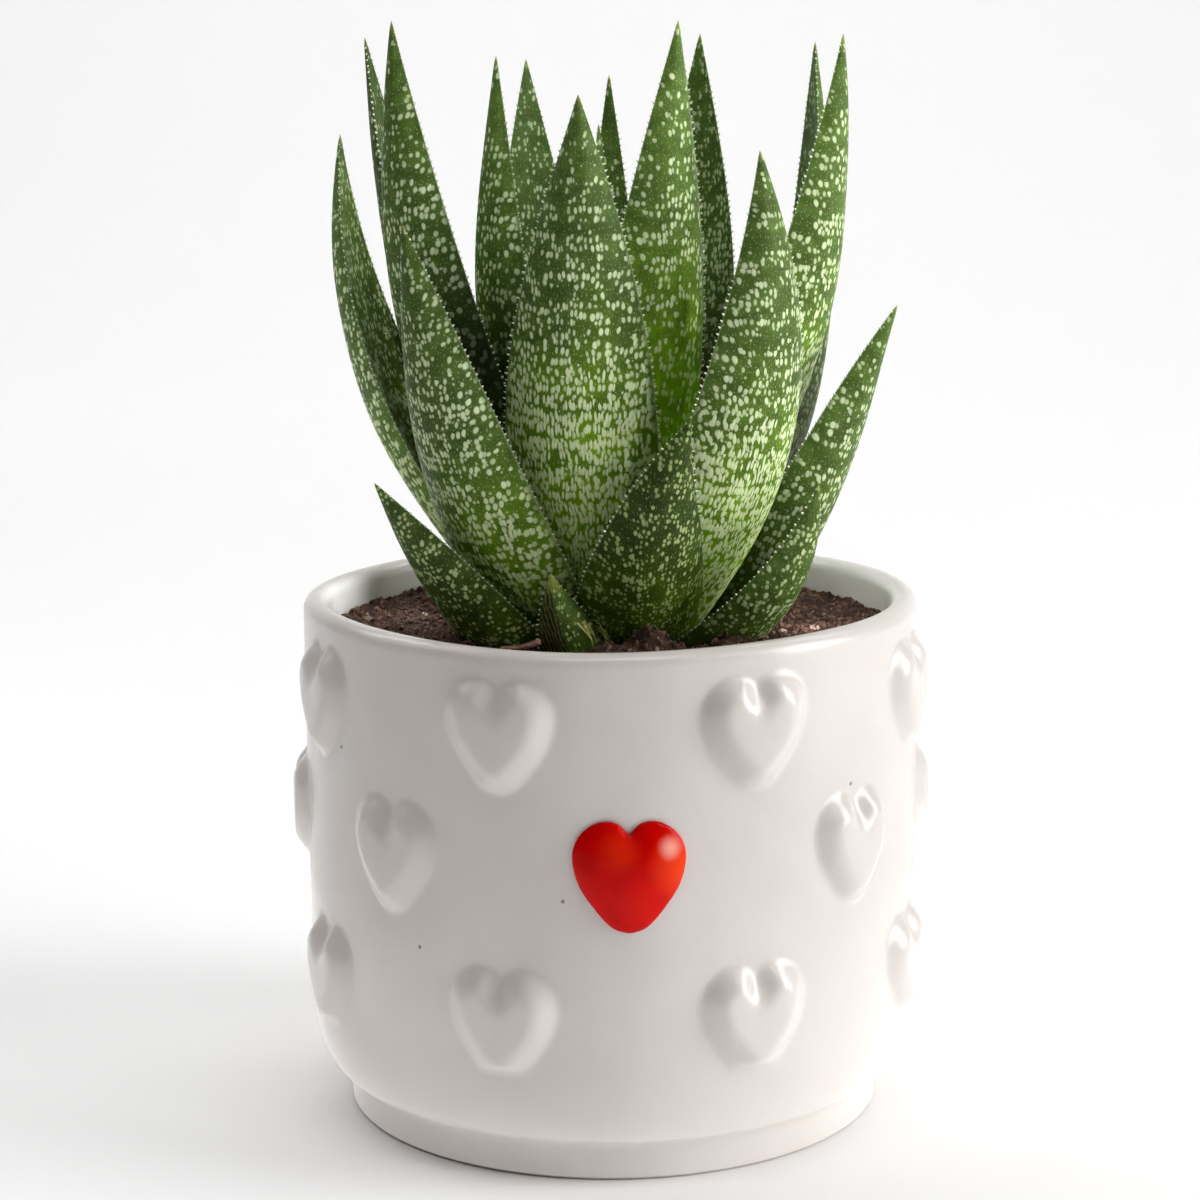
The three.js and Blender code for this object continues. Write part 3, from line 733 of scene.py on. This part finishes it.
placed = board.geo(
    "InstanceOnPoints", Points=spread["Points"], Instance=lump["Mesh"], Rotation=turn,
    Scale=board.scaled(form, size),
)
toned = board.geo(
    "StoreNamedAttribute", {"data_type": "FLOAT", "domain": "INSTANCE"},
    Geometry=placed["Instances"], Name="tone", Value=random_share(board, TONE_SEED),
)
finish_tree(board, given, result, toned["Geometry"])

soil_bed = put("soil_bed", soil_mesh)
soil_grown = grown(soil_bed, crumbs, Material=crumb_peat.material, **CRUMBS)
bpy.data.objects.remove(soil_bed)

# %% [markdown]
# That is a heavy mesh, so it is shared out: the bed is one piece and the crumbs are three more,
# each with a third of them.

# %% Share out the bed and the crumbs
CRUMB_FACES, CRUMB_PIECES = 20, 3


def only(mesh, wanted):
    """A copy of a mesh with only the faces that are wanted."""
    part = mesh.copy()
    cut = bmesh.new()
    cut.from_mesh(part)
    others = [face for face in cut.faces if not wanted[face.index]]
    bmesh.ops.delete(cut, geom=others, context="FACES")
    cut.to_mesh(part)
    cut.free()
    return part


used = np.empty(len(soil_grown.polygons), np.int32)
soil_grown.polygons.foreach_get("material_index", used)
on_crumb = used == soil_grown.materials.find(crumb_peat.material.name)
crumb = (np.cumsum(on_crumb) - 1) // CRUMB_FACES
share = crumb * CRUMB_PIECES // (crumb.max() + 1)
stand_for("soil", only(soil_grown, ~on_crumb))
for k in range(CRUMB_PIECES):
    stand_for("soil", only(soil_grown, on_crumb & (share == k)), f"crumbs_{k + 1}")

# %% [markdown]
# ## The leaves
#
# A leaf of this plant is a long boat: full and rounded below, hollow above, and drawn out to a
# horny point, with a row of small teeth down each margin. Its midrib is one smooth curve from the
# stem to the tip, and its section changes as we go along. So one function makes all the leaves
# from a table, the same that the CAD solids were made from, with more steps.
#
# A second table has a row of six numbers for the finish of each leaf: how thickly it is flecked,
# how far the flecks draw out to dashes towards the base, how bright a yellow-green the base turns,
# how much fine dust of specks lies between the flecks, how light its green is, and the height in
# millimetres under which its colour is darkened as painted shade from its neighbours. The light of
# the green and the glow of the base are partly the leaf's own colour and partly painted light. The
# oldest leaves, low down at the front, are the darkest.

# %% Write down the leaves
# name, bearing of the root; bearing, distance and height of the tip; lean at the root and at the
# tip; width, how far along it peaks, roll, heading of the tip
LEAVES = [
    ("leaf_01_stub", -13, (-18, 25, 78), (50, 20), 10.4, 0.2, 20, None),
    ("leaf_02_low_left", -50, (-48, 40.5, 90.5), (50, 44), 15.5, 0.3, 0, None),
    ("leaf_03_low_right", 43, (45, 38, 90), (60, 16), 14, 0.3, 0, None),
    ("leaf_04_low_back", 165, (165, 38, 96), (58, 30), 14, 0.3, 0, None),
    ("leaf_05_front", 16, (18, 33.5, 99), (36, 24), 18, 0.25, 0, 80),
    ("leaf_06_right", 72, (67, 41, 112), (50, 30), 16.5, 0.35, -12, None),
    ("leaf_07_back_left", -138, (-138, 38, 108), (54, 20), 14, 0.35, 0, None),
    ("leaf_08_left", -44, (-41.7, 38.8, 123.5), (42, 18), 20, 0.3, 0, None),
    ("leaf_09_right", 38, (36.5, 32.3, 132.2), (40, -10), 19, 0.38, 0, None),
    ("leaf_10_far_left", -86, (-88.4, 36, 134.4), (36, 2), 18, 0.4, -16, None),
    ("leaf_11_back_right", 125, (125, 36, 118), (50, 15), 15, 0.35, 0, None),
    ("leaf_12_centre", -14, (-8.6, 24.3, 139.3), (30, 4), 20.4, 0.37, 0, None),
    ("leaf_13_right_tall", 64, (62.2, 34.4, 146.8), (31, 6), 17, 0.4, -6, None),
    ("leaf_14_left_back", -108, (-109.7, 35.6, 147.5), (36, 12), 14, 0.4, 0, None),
    ("leaf_15_right_back", 104, (105.6, 29.7, 146.4), (52, 3), 16, 0.4, 0, None),
    ("leaf_16_left_tall", -62, (-63.3, 31.1, 148.9), (36, 4.5), 17.6, 0.4, 15, None),
    ("leaf_17_back", -155, (-152.4, 24.8, 144.5), (34, 4), 15, 0.4, 0, None),
    ("leaf_18_back", 140, (143.8, 22.3, 147.8), (32, 4), 16.5, 0.4, 0, None),
    ("leaf_19_centre_tall", 26, (33.5, 16.8, 148.7), (17, 8), 16.4, 0.36, 0, None),
    ("leaf_20_inner_left", -80, (-80, 15, 144.6), (24, 2), 14.8, 0.4, 15, None),
    ("leaf_21_inner_back", 176, (179, 18, 142.2), (20, 0), 8, 0.4, 0, None),
    ("leaf_22_youngest", -150, (-150, 2.3, 135.5), (4, 2), 7, 0.4, 0, None),
]
MARKS = ("flecks", "dashes", "glow", "dust", "shade", "dusk")
# The shade and glow numbers are partly each leaf's own green and partly painted light, raised on
# leaves that the lamps here leave too dark, such as leaf_19 and the stub.
FINISHES = [  # in the order of the leaves
    (0.25, 0.2, 0.9, 0.9, 1.9, 0), (0.25, 0.2, 0.35, 0.85, 0.74, 0),
    (0.35, 0.2, 0.3, 0.8, 1.2, 0), (0.6, 0.3, 0.2, 0.4, 1, 0), (0.22, 0, 1, 1, 0.52, 0),
    (0.62, 0.3, 0.5, 0.35, 1.2, 87), (0.7, 0.3, 0.3, 0.3, 1, 0),
    (0.92, 0.35, 0.7, 0.6, 0.92, 0), (0.9, 1.1, 0.9, 0.45, 1.14, 0),
    (0.8, 0.45, 0.4, 0.55, 1.4, 0), (0.7, 0.3, 0.3, 0.3, 1, 0), (1, 1.05, 1, 0.2, 1, 0),
    (1, 1, 1, 0.3, 1.35, 78), (0.7, 0.3, 0.25, 0.2, 0.75, 108), (0.8, 0.4, 0.3, 0.3, 1.3, 108),
    (0.85, 0.4, 0.35, 0.25, 1.08, 119), (0.7, 0.3, 0.3, 0.4, 1, 110),
    (1, 0.2, 0.2, 0.5, 1.6, 114), (0.92, 0, 1.3, 0.1, 1.6, 84), (1, 0.4, 0.45, 0.1, 1.6, 115),
    (0.5, 0.2, 0.3, 0.1, 1, 120), (0.4, 0.2, 0.5, 0.1, 1, 115),
]
ROOT_SPIRAL = ((10.8, 2.2), (61, 73))  # distance from the axis and height, first and last leaf
BULGE, HOLLOW, ROOT_WIDTH, ROUNDNESS, PULL = (0.28, 0.33), (0.15, 0.03), 0.72, 2.4, 0.38
EDGE = 0.16  # how far a margin is rounded, in millimetres
TIP_HALF, TIP_BULGE, TIP_POINT, UNEVENNESS = 0.10, 0.12, 0.15, 0.03
STEPS, FINE_STEPS, OUTER_SIDES, INNER_SIDES = 120, 600, 30, 16
print("leaves:", len(LEAVES))

# %% [markdown]
# The points along the midrib have to be evenly spaced, or the unevenness and the light would bunch
# up where the curve is slow. So the curve is walked finely, its length summed, and the even
# distances looked up in that sum.

# %% Follow a midrib
def leaning(bearing, lean):
    return polar(bearing, math.sin(math.radians(lean)), math.cos(math.radians(lean)))


def midrib(root, tip, root_way, tip_way, steps):
    """Evenly spaced points and directions along the curve, and its length."""
    pull = PULL * np.linalg.norm(tip - root)
    a, b, c, d = root, root + pull * root_way, tip - pull * tip_way, tip

    def curve(t):
        return (1 - t) ** 3 * a + 3 * (1 - t) ** 2 * t * b + 3 * (1 - t) * t**2 * c + t**3 * d

    t = np.linspace(0, 1, FINE_STEPS)[:, None]
    walked = np.concatenate([[0], np.cumsum(np.linalg.norm(np.diff(curve(t), axis=0), axis=1))])
    t = np.interp(np.linspace(0, walked[-1], steps), walked, t[:, 0])[:, None]
    ways = (1 - t) ** 2 * (b - a) + 2 * (1 - t) * t * (c - b) + t**2 * (d - c)
    return curve(t), unit(ways), walked[-1]


def width_share(t, belly):
    widening = 1 - (1 - ROOT_WIDTH) * np.clip((belly - t) / belly, 0, 1) ** 2
    return np.where(t < belly, widening, np.sin(math.pi / 2 * (1 - t) / (1 - belly)))


# %% [markdown]
# The skin follows: rings across the midrib, each with a full outer face, a hollow inner face and a
# rounded margin, and with a little unevenness, so that no face is a perfect curve.

# %% Make one leaf's skin
section_sides = np.concatenate([
    -np.cos(np.linspace(0, math.pi, OUTER_SIDES)),
    np.cos(np.linspace(0, math.pi, INNER_SIDES + 2))[1:-1],
])
on_inner = np.arange(len(section_sides)) >= OUTER_SIDES


def leaf_skin(row, index):
    _, root_bearing, tip, lean, width, belly, roll, heading = row
    age = index / (len(LEAVES) - 1)
    radius, z = (low + (high - low) * age for low, high in ROOT_SPIRAL)
    root_way = leaning(root_bearing, lean[0])
    tip_way = leaning(tip[0] if heading is None else heading, lean[1])
    root = polar(root_bearing, radius, z)
    spine, along, length = midrib(root, polar(*tip), root_way, tip_way, STEPS + 1)
    t = np.linspace(0, 1, STEPS + 1)
    bearing = np.radians(root_bearing + (tip[0] - root_bearing) * t)
    level = np.stack([np.cos(bearing), np.sin(bearing), 0 * t], -1)
    level = unit(level - (level * along).sum(1, keepdims=True) * along)
    turn = math.radians(roll)
    across = level * math.cos(turn) + np.cross(along, level) * math.sin(turn)
    out = np.cross(across, along)
    wide = width * width_share(t, belly)
    half = wide / 2 + TIP_HALF
    bulge = np.maximum(wide * (BULGE[0] + (BULGE[1] - BULGE[0]) * t), TIP_BULGE)
    hollow = wide * (HOLLOW[0] + (HOLLOW[1] - HOLLOW[0]) * t)
    side = section_sides[None, :]
    outer = bulge[:, None] * (1 - np.abs(side) ** ROUNDNESS)
    inner_face = hollow[:, None] * (1 - side**2)
    edge = np.minimum(EDGE, half[:, None] * 0.4) * np.sqrt(np.clip(1 - side**2, 0, 1))
    height = np.where(on_inner, inner_face - edge, outer + edge)
    uneven = np.array([
        noise.noise(Vector((u * 0.9 + 7 * index, v * length * 0.06, 0)))
        for v in t for u in section_sides
    ]).reshape(len(t), -1)
    height += uneven * UNEVENNESS * wide[:, None] * (1 - side**2)
    offset = side[..., None] * half[:, None, None] * across[:, None]
    offset = offset + height[..., None] * out[:, None]
    return spine[:, None] + offset, {
        "along": t, "half": half, "across": across, "length": length,
        "tip": spine[-1] + TIP_POINT * along[-1],
    }


SKINS = [leaf_skin(row, index) for index, row in enumerate(LEAVES)]
print("one leaf has", STEPS * (OUTER_SIDES + INNER_SIDES), "faces")

# %% [markdown]
# Deep between the leaves hardly any light arrives, so the skin there is painted darker: painted
# shade. To find those places we stand on the skin, look out in many directions, most of all
# upwards, and count how much of the view other leaves block. A coarse copy of the rosette is enough
# to look at, and the counts are then spread out over the fine skin.

# %% Look out from every part of the skin
EVERY_ROW, EVERY_SIDE, STAND_OFF, OUTLOOK, LOOKS = 5, 2, 0.4, 45.0, 72


def coarsely(rings):
    return rings[:-1:EVERY_ROW, ::EVERY_SIDE]


canopy_points, canopy_faces = together(
    skin(coarsely(rings), coarsely(rings)[0].mean(0), told["tip"]) for rings, told in SKINS
)
canopy = BVHTree.FromPolygons(canopy_points.tolist(), canopy_faces)
# Unit vectors spread evenly over a ball.
up = 1 - 2 * (np.arange(LOOKS) + 0.5) / LOOKS
spin, flat = math.pi * (1 + 5**0.5) * np.arange(LOOKS), np.sqrt(1 - up * up)
WAYS = np.stack([flat * np.cos(spin), flat * np.sin(spin), up], -1)
SKY_SHARE = 0.25 + np.maximum(up, 0)


def openness(rings):
    """How much of the light from above and around reaches each point, from 0 to 1."""
    coarse = coarsely(rings)
    facing = unit(coarse - coarse.mean(1, keepdims=True))
    result = np.zeros(coarse.shape[:2])
    for place in np.ndindex(result.shape):
        start = Vector(coarse[place] + STAND_OFF * facing[place])
        share = np.maximum(WAYS @ facing[place], 0) * SKY_SHARE
        seen = [
            k for k in np.nonzero(share)[0]
            if canopy.ray_cast(start, Vector(WAYS[k]), OUTLOOK)[0] is None
        ]
        result[place] = share[seen].sum() / share.sum()
    rows, sides = np.arange(len(rings) - 1), np.arange(rings.shape[1])
    result = np.stack([np.interp(rows, rows[::EVERY_ROW], column) for column in result.T], -1)
    return np.stack([
        np.interp(sides, sides[::EVERY_SIDE], line, period=len(sides)) for line in result
    ])


OPEN = [openness(rings) for rings, _ in SKINS]
print("openness of the skin:", [round(float(o.mean()), 2) for o in OPEN])

# %% [markdown]
# A leaf also carries notes for its paint: where on the skin each point lies, in millimetres
# across and along, as its UV map, and how far along, to which side and on which face, as
# attributes. A UV map belongs to faces' corners, so the pattern can break cleanly at the margins.

# %% Note down what the paint needs
ROUND_THE_BACK, INNER_APART, LEAVES_APART = 1.12, 60.0, 150.0
TOOTHED = (0.1, 0.985)  # from how far along the leaf, and to how far


def leaf_mesh(row, index, paint):
    rings, told = SKINS[index]
    rings = rings[:-1]
    rows, sides = rings.shape[:2]
    points, faces = skin(rings, rings[0].mean(0), told["tip"])
    mesh = make_mesh(row[0], points, faces, paint)
    t = np.repeat(told["along"][:-1], sides)
    side = np.tile(section_sides, rows)
    ends = lambda values, first, last: np.concatenate([values, [first, last]])
    # Teeth stand on the two lines of margin points, clear of the root, and point outwards.
    margin = np.isclose(np.abs(side), 1) & (t > TOOTHED[0]) & (t < TOOTHED[1])
    smaller = np.clip((1 - t) * 9, 0.35, 1) * np.clip((t - 0.08) * 8, 0.3, 1)
    notes = {
        "along": ends(t, 0, 1), "side": ends(side, 0, 0),
        "inner": ends(np.tile(on_inner.astype(float), rows), 0, 0),
        "open": ends(OPEN[index].ravel(), 0, 1),
        "hidden_side": ends(side, 0, 0) * (1 if row[1] < 0 else -1),
        "withered": ends(side < -0.1, 0, 0) * (index == 0),
        "margin": ends(margin, 0, 0), "tooth_size": ends(smaller, 0, 0),
    }
    alike = dict(zip(MARKS, FINISHES[index]), stub=float(index == 0))
    notes |= {name: np.full(len(points), value) for name, value in alike.items()}
    for name, values in notes.items():
        note(mesh, name, values)
    outward = np.repeat(told["across"][:-1], sides, 0) * side[:, None]
    outward = np.concatenate([outward, np.zeros((2, 3))]).ravel()
    mesh.attributes.new("tooth_way", "FLOAT_VECTOR", "POINT").data.foreach_set("vector", outward)
    # The skin's own map: millimetres across, the inner face set apart, and along.
    across_mm = side * np.repeat(told["half"][:-1], sides) * ROUND_THE_BACK
    place = np.stack([ends(across_mm, 0, 0), ends(t, 0, 1) * told["length"]], -1)
    inner_point = ends(np.tile(on_inner, rows), False, False)
    corners = np.empty(len(mesh.loops), int)
    mesh.loops.foreach_get("vertex_index", corners)
    starts = np.array([p.loop_start for p in mesh.polygons])
    inner_face = np.logical_or.reduceat(inner_point[corners], starts)
    counts = np.diff(np.append(starts, len(corners)))
    shift = np.repeat(np.where(inner_face, INNER_APART, 0.0), counts)
    uv = place[corners] + np.stack([shift + LEAVES_APART * index, 0 * shift], -1)
    mesh.uv_layers.new(name="skin").data.foreach_set("uv", uv.ravel())
    return mesh


print("a leaf's notes: along, side, inner, open and its finish")

# %% [markdown]
# ### The skin of a leaf
#
# The green runs from a dark grey-green at the tip to yellow-green where light hardly reached the
# base. Over it lie the flecks, small raised white ovals that stand upright on the leaf. Near the
# tip they gather in wavy rows across the leaf, with bare green between. Lower down they crowd and
# draw out in to dashes. Voronoi cells give both: each cell holds one fleck at most. Whether it
# does is decided at the cell's own middle, so that a row never cuts a fleck in half.

# %% Mix the leaf green
leaf = Paint("leaf")
u, v, _ = leaf.split(leaf.add("ShaderNodeUVMap", {"uv_map": "skin"})["UV"])
flat = leaf.vector(u, v)
along, side, inner_mark = (leaf.mark(name) for name in ("along", "side", "inner"))
flecks, dashes, glow, dust = (leaf.mark(name) for name in MARKS[:4])

cloud = leaf.grain(flat, 0.16, 3.0)
streak = leaf.grain(leaf.vector(u * 1.6, v * 0.09), 1.0, 3.0)
lower = ((1 - along) * 1.5 - 0.60 + glow * 0.16 + (cloud - 0.5) * 0.45).rise(0.0, 0.95)
green = leaf.layered(
    (0.062, 0.108, 0.020), (lower, (0.098, 0.195, 0.002)),
    (lower * glow * (0.35 + streak * 1.1).least(1.0), (0.200, 0.400, 0.002)),
    (streak.rise(0.45, 0.75) * 0.20, (0.13, 0.215, 0.022)),
    (side.size().rise(0.86, 1.0) * 0.3, (0.050, 0.105, 0.018)),
    (inner_mark * 0.25, (0.040, 0.085, 0.010)),
)


def banded(x, y):
    """Wavy rows across the leaf, about 4 mm apart, from 0 between them to 1 on them."""
    wave = leaf.grain(leaf.vector(x * 1.1, y * 0.6), 0.17, 2.5, 0.6)
    patch = leaf.grain(leaf.vector(x + 40.0, y), 0.30, 1.0)
    return ((y + wave * 15.0) * 1.5).sine() * 0.36 + 0.5 + (patch - 0.5) * 1.1


tint = 0.69 + banded(u, v) * 0.42 + cloud.rise(0.3, 0.7) * 0.17
green = leaf.scaled(green, tint)

# %% Lay the flecks over it
def fleck_field(wide, tall, lean):
    """Upright ovals, so many to a millimetre across and along, and the row that each is in."""
    bent = leaf.vector((u + leaf.grain(flat, 0.22, 1.0) * lean) * wide, v * tall)
    far, middle, pick, chance = leaf.cells(bent, 1.0, 0.72)
    x, y, _ = leaf.split(middle)
    return far, pick, chance, banded(x / wide, y / tall)


low = (1 - along).rise(0.30, 0.72) * dashes
far, pick, chance, row = fleck_field(1.45, 0.86, 1.4)
bare_tip = (1 - along).rise(0.0, 0.30) * 0.55 + 0.45
kept = chance > 1.0 - flecks * bare_tip * (0.06 + row * 1.02 + low * 0.42)
reach = 0.20 + 0.13 * pick + (1 - along) * 0.14
oval = (reach * kept - far).rise(-0.15, 0.09) * (0.62 + pick * 0.38)

far, pick, chance, row = fleck_field(1.75, 0.58, 1.2)
kept = chance > 1.0 - flecks * (0.60 + row * 0.40) * low.rise(0.10, 0.75) * 1.2
dash = ((0.25 + 0.13 * pick) * kept - far).rise(-0.10, 0.08)

far, pick, chance, row = fleck_field(1.65, 1.35, 0.5)
kept = chance > 1.0 - dust * (0.06 + row * 0.96)
speck = ((0.15 + 0.24 * pick) * kept - far).rise(-0.14, 0.09)

fleck = oval.most(dash).most(speck * (0.50 + pick * 0.42))
fleck = fleck * (side.size().rise(0.995, 0.92) * 0.75 + 0.25) * (1 - inner_mark * 0.25)
fleck = fleck * (1 - along.rise(0.55, 1.0) * 0.30)
fleck = fleck.most(side.size().rise(0.982, 1.0) * 0.22)
pale = leaf.layered(
    (0.74, 0.84, 0.52), (lower, (0.74, 0.84, 0.40)), (dust.rise(0.6, 1.0), (0.68, 0.80, 0.33)),
)
pale = leaf.scaled(pale, leaf.mark("shade") ** -0.6)

# One half of the stub has dried to brown ribs.
rib = ((u + leaf.grain(flat, 0.5, 1.0) * 0.8) * 11.0).sine() * 0.5 + 0.5
rib_colour = leaf.mix(rib ** 3.0, (0.022, 0.024, 0.008), (0.130, 0.140, 0.055))
leaf_tip = along.rise(0.975, 0.998).most(leaf.mark("stub") * along.rise(0.86, 0.97))
skin_colour = leaf.layered(
    green, (fleck * (0.80 + cloud * 0.2), pale), (leaf.mark("withered") * 0.9, rib_colour),
    (leaf_tip * 0.6, (0.26, 0.29, 0.06)),
)

# Painted shade: deep in the rosette the skin's colour is darkened, and most of all on the side that
# faces a neighbour and below the leaf's dusk height, as a painted shadow.
OPEN_ENOUGH, DEEP, HOLLOW_FACE = 0.16, 0.50, 0.90
DUSK_FALL, DUSK_LEAN, DARKEST = (-20.0, 3.0), 9.0, 0.12
lit = leaf.mark("open").rise(0.0, OPEN_ENOUGH) * (1 - DEEP) + DEEP
lit = lit.most(inner_mark * HOLLOW_FACE)
_, _, z = leaf.split(leaf.place())
over_dusk = z - leaf.mark("dusk") - leaf.mark("hidden_side") * DUSK_LEAN
above = over_dusk.rise(*DUSK_FALL) * (1 - DARKEST) + DARKEST
skin_colour = leaf.scaled(skin_colour, leaf.mark("shade") * lit * above)
rough = 0.40 + fleck * 0.14 + cloud * 0.10
leaf.set(Base_Color=skin_colour, Roughness=rough, Specular_IOR_Level=0.07)
fine = leaf.grain(flat, 2.6, 2.0)
leaf.relief(fleck * 0.42 + streak * 0.28 + fine * 0.12 + cloud * 0.18, 0.22)

# %% [markdown]
# ### Teeth
#
# Each margin carries a tooth about every millimetre, a small pale spine with its tip turned
# towards the leaf's own. Geometry Nodes take the line of margin points as a curve, step along it
# evenly and stand a five-sided cone on each step. A tooth is white at its point and green at its
# foot, so the cone keeps a note of how high up it each point is.

# %% Mix the horn of the teeth and grow them
horn = Paint("tooth_horn")
up_tooth = horn.mark("up_tooth")
mottle = horn.grain(horn.place(), 1.2)
horn_colour = horn.layered(
    (0.20, 0.32, 0.10), (up_tooth.rise(0.0, 0.45), (0.84, 0.86, 0.68)),
    (mottle.rise(0.5, 0.8) * 0.3, (0.50, 0.52, 0.30)),
)
horn.set(Base_Color=horn_colour, Roughness=0.5)

TEETH = {"Spacing": 0.00086, "Length": 0.00046, "Width": 0.00018, "Forward": 0.5}  # in metres
teeth, board, given, result = new_tree(
    "teeth along the margins", Spacing="Float", Length="Float", Width="Float", Forward="Float",
    Seed="Int", Material="Material",
)
line = board.geo("MeshToCurve", Mesh=given["Geometry"], Selection=attribute(board, "margin") > 0.5)
even = board.geo("ResampleCurve", {"mode": "LENGTH"}, Curve=line["Curve"], Length=given["Spacing"])
cone = board.geo(
    "MeshCone", {"fill_type": "NONE"}, Vertices=5, Radius_Top=0.0, Radius_Bottom=given["Width"],
    Depth=given["Length"],
)
tall = board.split(board.geo("InputPosition")[0])[2]
noted = board.geo(
    "StoreNamedAttribute", {"data_type": "FLOAT", "domain": "POINT"}, Geometry=cone["Mesh"],
    Name="up_tooth", Value=tall / given["Length"],
)
tipward = board.scaled(board.geo("InputTangent")[0], given["Forward"])
outward = attribute(board, "tooth_way", "FLOAT_VECTOR")
way = board.add("ShaderNodeVectorMath", {"operation": "ADD"}, {0: outward, 1: tipward})[0]
aimed = board.add("FunctionNodeAlignRotationToVector", {"axis": "Z"}, {"Vector": way})["Rotation"]
varied = random_share(board, given["Seed"], 0.65, 1.2)
stood = board.geo(
    "InstanceOnPoints", Points=even["Curve"], Instance=noted["Geometry"], Rotation=aimed,
    Scale=board.vector(varied, varied, varied * attribute(board, "tooth_size")),
)
finish_tree(board, given, result, stood["Instances"])

for index, row in enumerate(LEAVES):
    bare = put(row[0] + "_bare", leaf_mesh(row, index, leaf))
    toothed = grown(bare, teeth, Seed=index, Material=horn.material, **TEETH)
    bpy.data.objects.remove(bare)
    stand_for(row[0], toothed)

# %% [markdown]
# ### The torn edge of the stub
#
# The stub is what was left when an old leaf was pulled off. Its right half is torn at the foot, and
# the fibres of the leaf hang out there, each a thin, pale, tapering thread.

# %% Tear out the fibres
fibre_paint = Paint("torn_fibre")
at = fibre_paint.place()
fade = fibre_paint.grain(at, 1.5, 2.0)
straw = fibre_paint.mix(fade.rise(0.35, 0.65), (0.30, 0.38, 0.05), (0.74, 0.70, 0.28))
fibre_paint.set(Base_Color=straw, Roughness=0.45 + fade * 0.2)

FIBRES, FIBRE_RADIUS, FIBRE_SIDES, FIBRE_STEPS = 14, 0.22, 6, 9
FIRST_SIDE, TORN_SIDES, TORN_FROM, TORN_TO = 20, 9, 69.2, 71.6
SAG = np.array((0.3, -0.4, 0.8))
stub_skin = SKINS[0][0]
draw = np.random.default_rng(5)
threads = []
for k in range(FIBRES):
    line = stub_skin[:, FIRST_SIDE + round(TORN_SIDES * k / (FIBRES - 1))]
    start = line[np.argmin(np.abs(line[:, 2] - draw.uniform(TORN_FROM, TORN_TO)))]
    reach = np.array((draw.uniform(0.6, 2.2), draw.uniform(-1.4, -0.6), draw.uniform(-2.2, -1.2)))
    t = np.linspace(0, 1, FIBRE_STEPS)[:, None]
    path = start + reach * t + (0.35 * draw.uniform(0.4, 1.4)) * np.sin(math.pi * t) * SAG
    turn = np.arange(FIBRE_SIDES) * math.tau / FIBRE_SIDES
    thick = FIBRE_RADIUS * (1 - 0.8 * t[..., None])
    ring = np.stack([np.cos(turn) * 0.5, np.sin(turn), np.cos(turn) * 0.85], -1)
    threads.append(skin(path[:, None] + thick * ring, start, path[-1]))
fibres = make_mesh("fibres", *together(threads), fibre_paint)
stand_for("leaf_01_stub", fibres, "fibres")

# %% [markdown]
# ## The stem, and what lies on the peat
#
# The stem and its roots are buried, and only the crown can be glimpsed between the youngest
# leaves, so the solid itself is shown, with a finish of its own. The shard of bark is a thin
# curved flake with ragged grain along it.

# %% Finish the stem and the bark
stem_paint = Paint("stem")
at = stem_paint.place()
rings_of_scars = (stem_paint.split(at)[2] * 2.4 + stem_paint.grain(at, 0.3) * 3.0).sine()
stem_colour = stem_paint.mix(rings_of_scars.rise(-0.4, 0.9), (0.10, 0.13, 0.03), (0.19, 0.23, 0.07))
stem_paint.set(Base_Color=stem_colour, Roughness=0.72)
stem_paint.relief(rings_of_scars * 0.5 + stem_paint.grain(at, 1.2) * 0.5, 0.25)
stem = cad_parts["stem_and_roots"]
stem.data.materials.clear()
stem.data.materials.append(stem_paint.material)

bark = Paint("bark")
at = bark.place()
x, y, z = bark.split(at)
fibre = bark.grain(bark.vector(x * 0.4, y * 2.6, z * 2.6), 1.0, 4.0, 0.7)
brown = bark.layered(
    (0.16, 0.060, 0.040), (fibre.rise(0.35, 0.6), (0.42, 0.24, 0.17)),
    (fibre.rise(0.6, 0.72) * 0.7, (0.62, 0.48, 0.36)),
)
bark.set(Base_Color=brown, Roughness=0.75)
bark.relief(fibre, 0.3)

BARK_ROWS, BARK_SIDES, BARK_HALF, BARK_THICK, BARK_SAG = 40, 20, 0.85, 0.4, 0.5
low, high = polar(-34.5, 25.6, 67.5), polar(-22.5, 24.3, 68.8)
t = np.linspace(0, 1, BARK_ROWS)[:, None]
sagging = (low + high) / 2 - (0, 0, BARK_SAG)
line = (1 - t) ** 2 * low + 2 * (1 - t) * t * sagging + t**2 * high
way = unit(np.gradient(line, axis=0))
flank = unit(np.array((0, 1.0, 0)) - way[:, 1:2] * way)
over = np.cross(flank, way)
turns = np.arange(BARK_SIDES) * math.tau / BARK_SIDES
full = 0.45 + 0.55 * np.sin(math.pi * (0.15 + 0.7 * t))
ragged = np.array([
    [noise.noise(Vector((3 * s, math.cos(a), math.sin(a)))) for a in turns] for s in t[:, 0]
])
wide = (BARK_HALF * full * (1 + 0.35 * ragged))[..., None] * np.cos(turns)[None, :, None]
thick = (BARK_THICK * (1 + 0.3 * ragged))[..., None] * np.sin(turns)[None, :, None]
bark_rings = line[:, None] + wide * flank[:, None] + thick * over[:, None]
stand_for("bark_chip", make_mesh("bark_chip", *skin(bark_rings, low, high), bark))
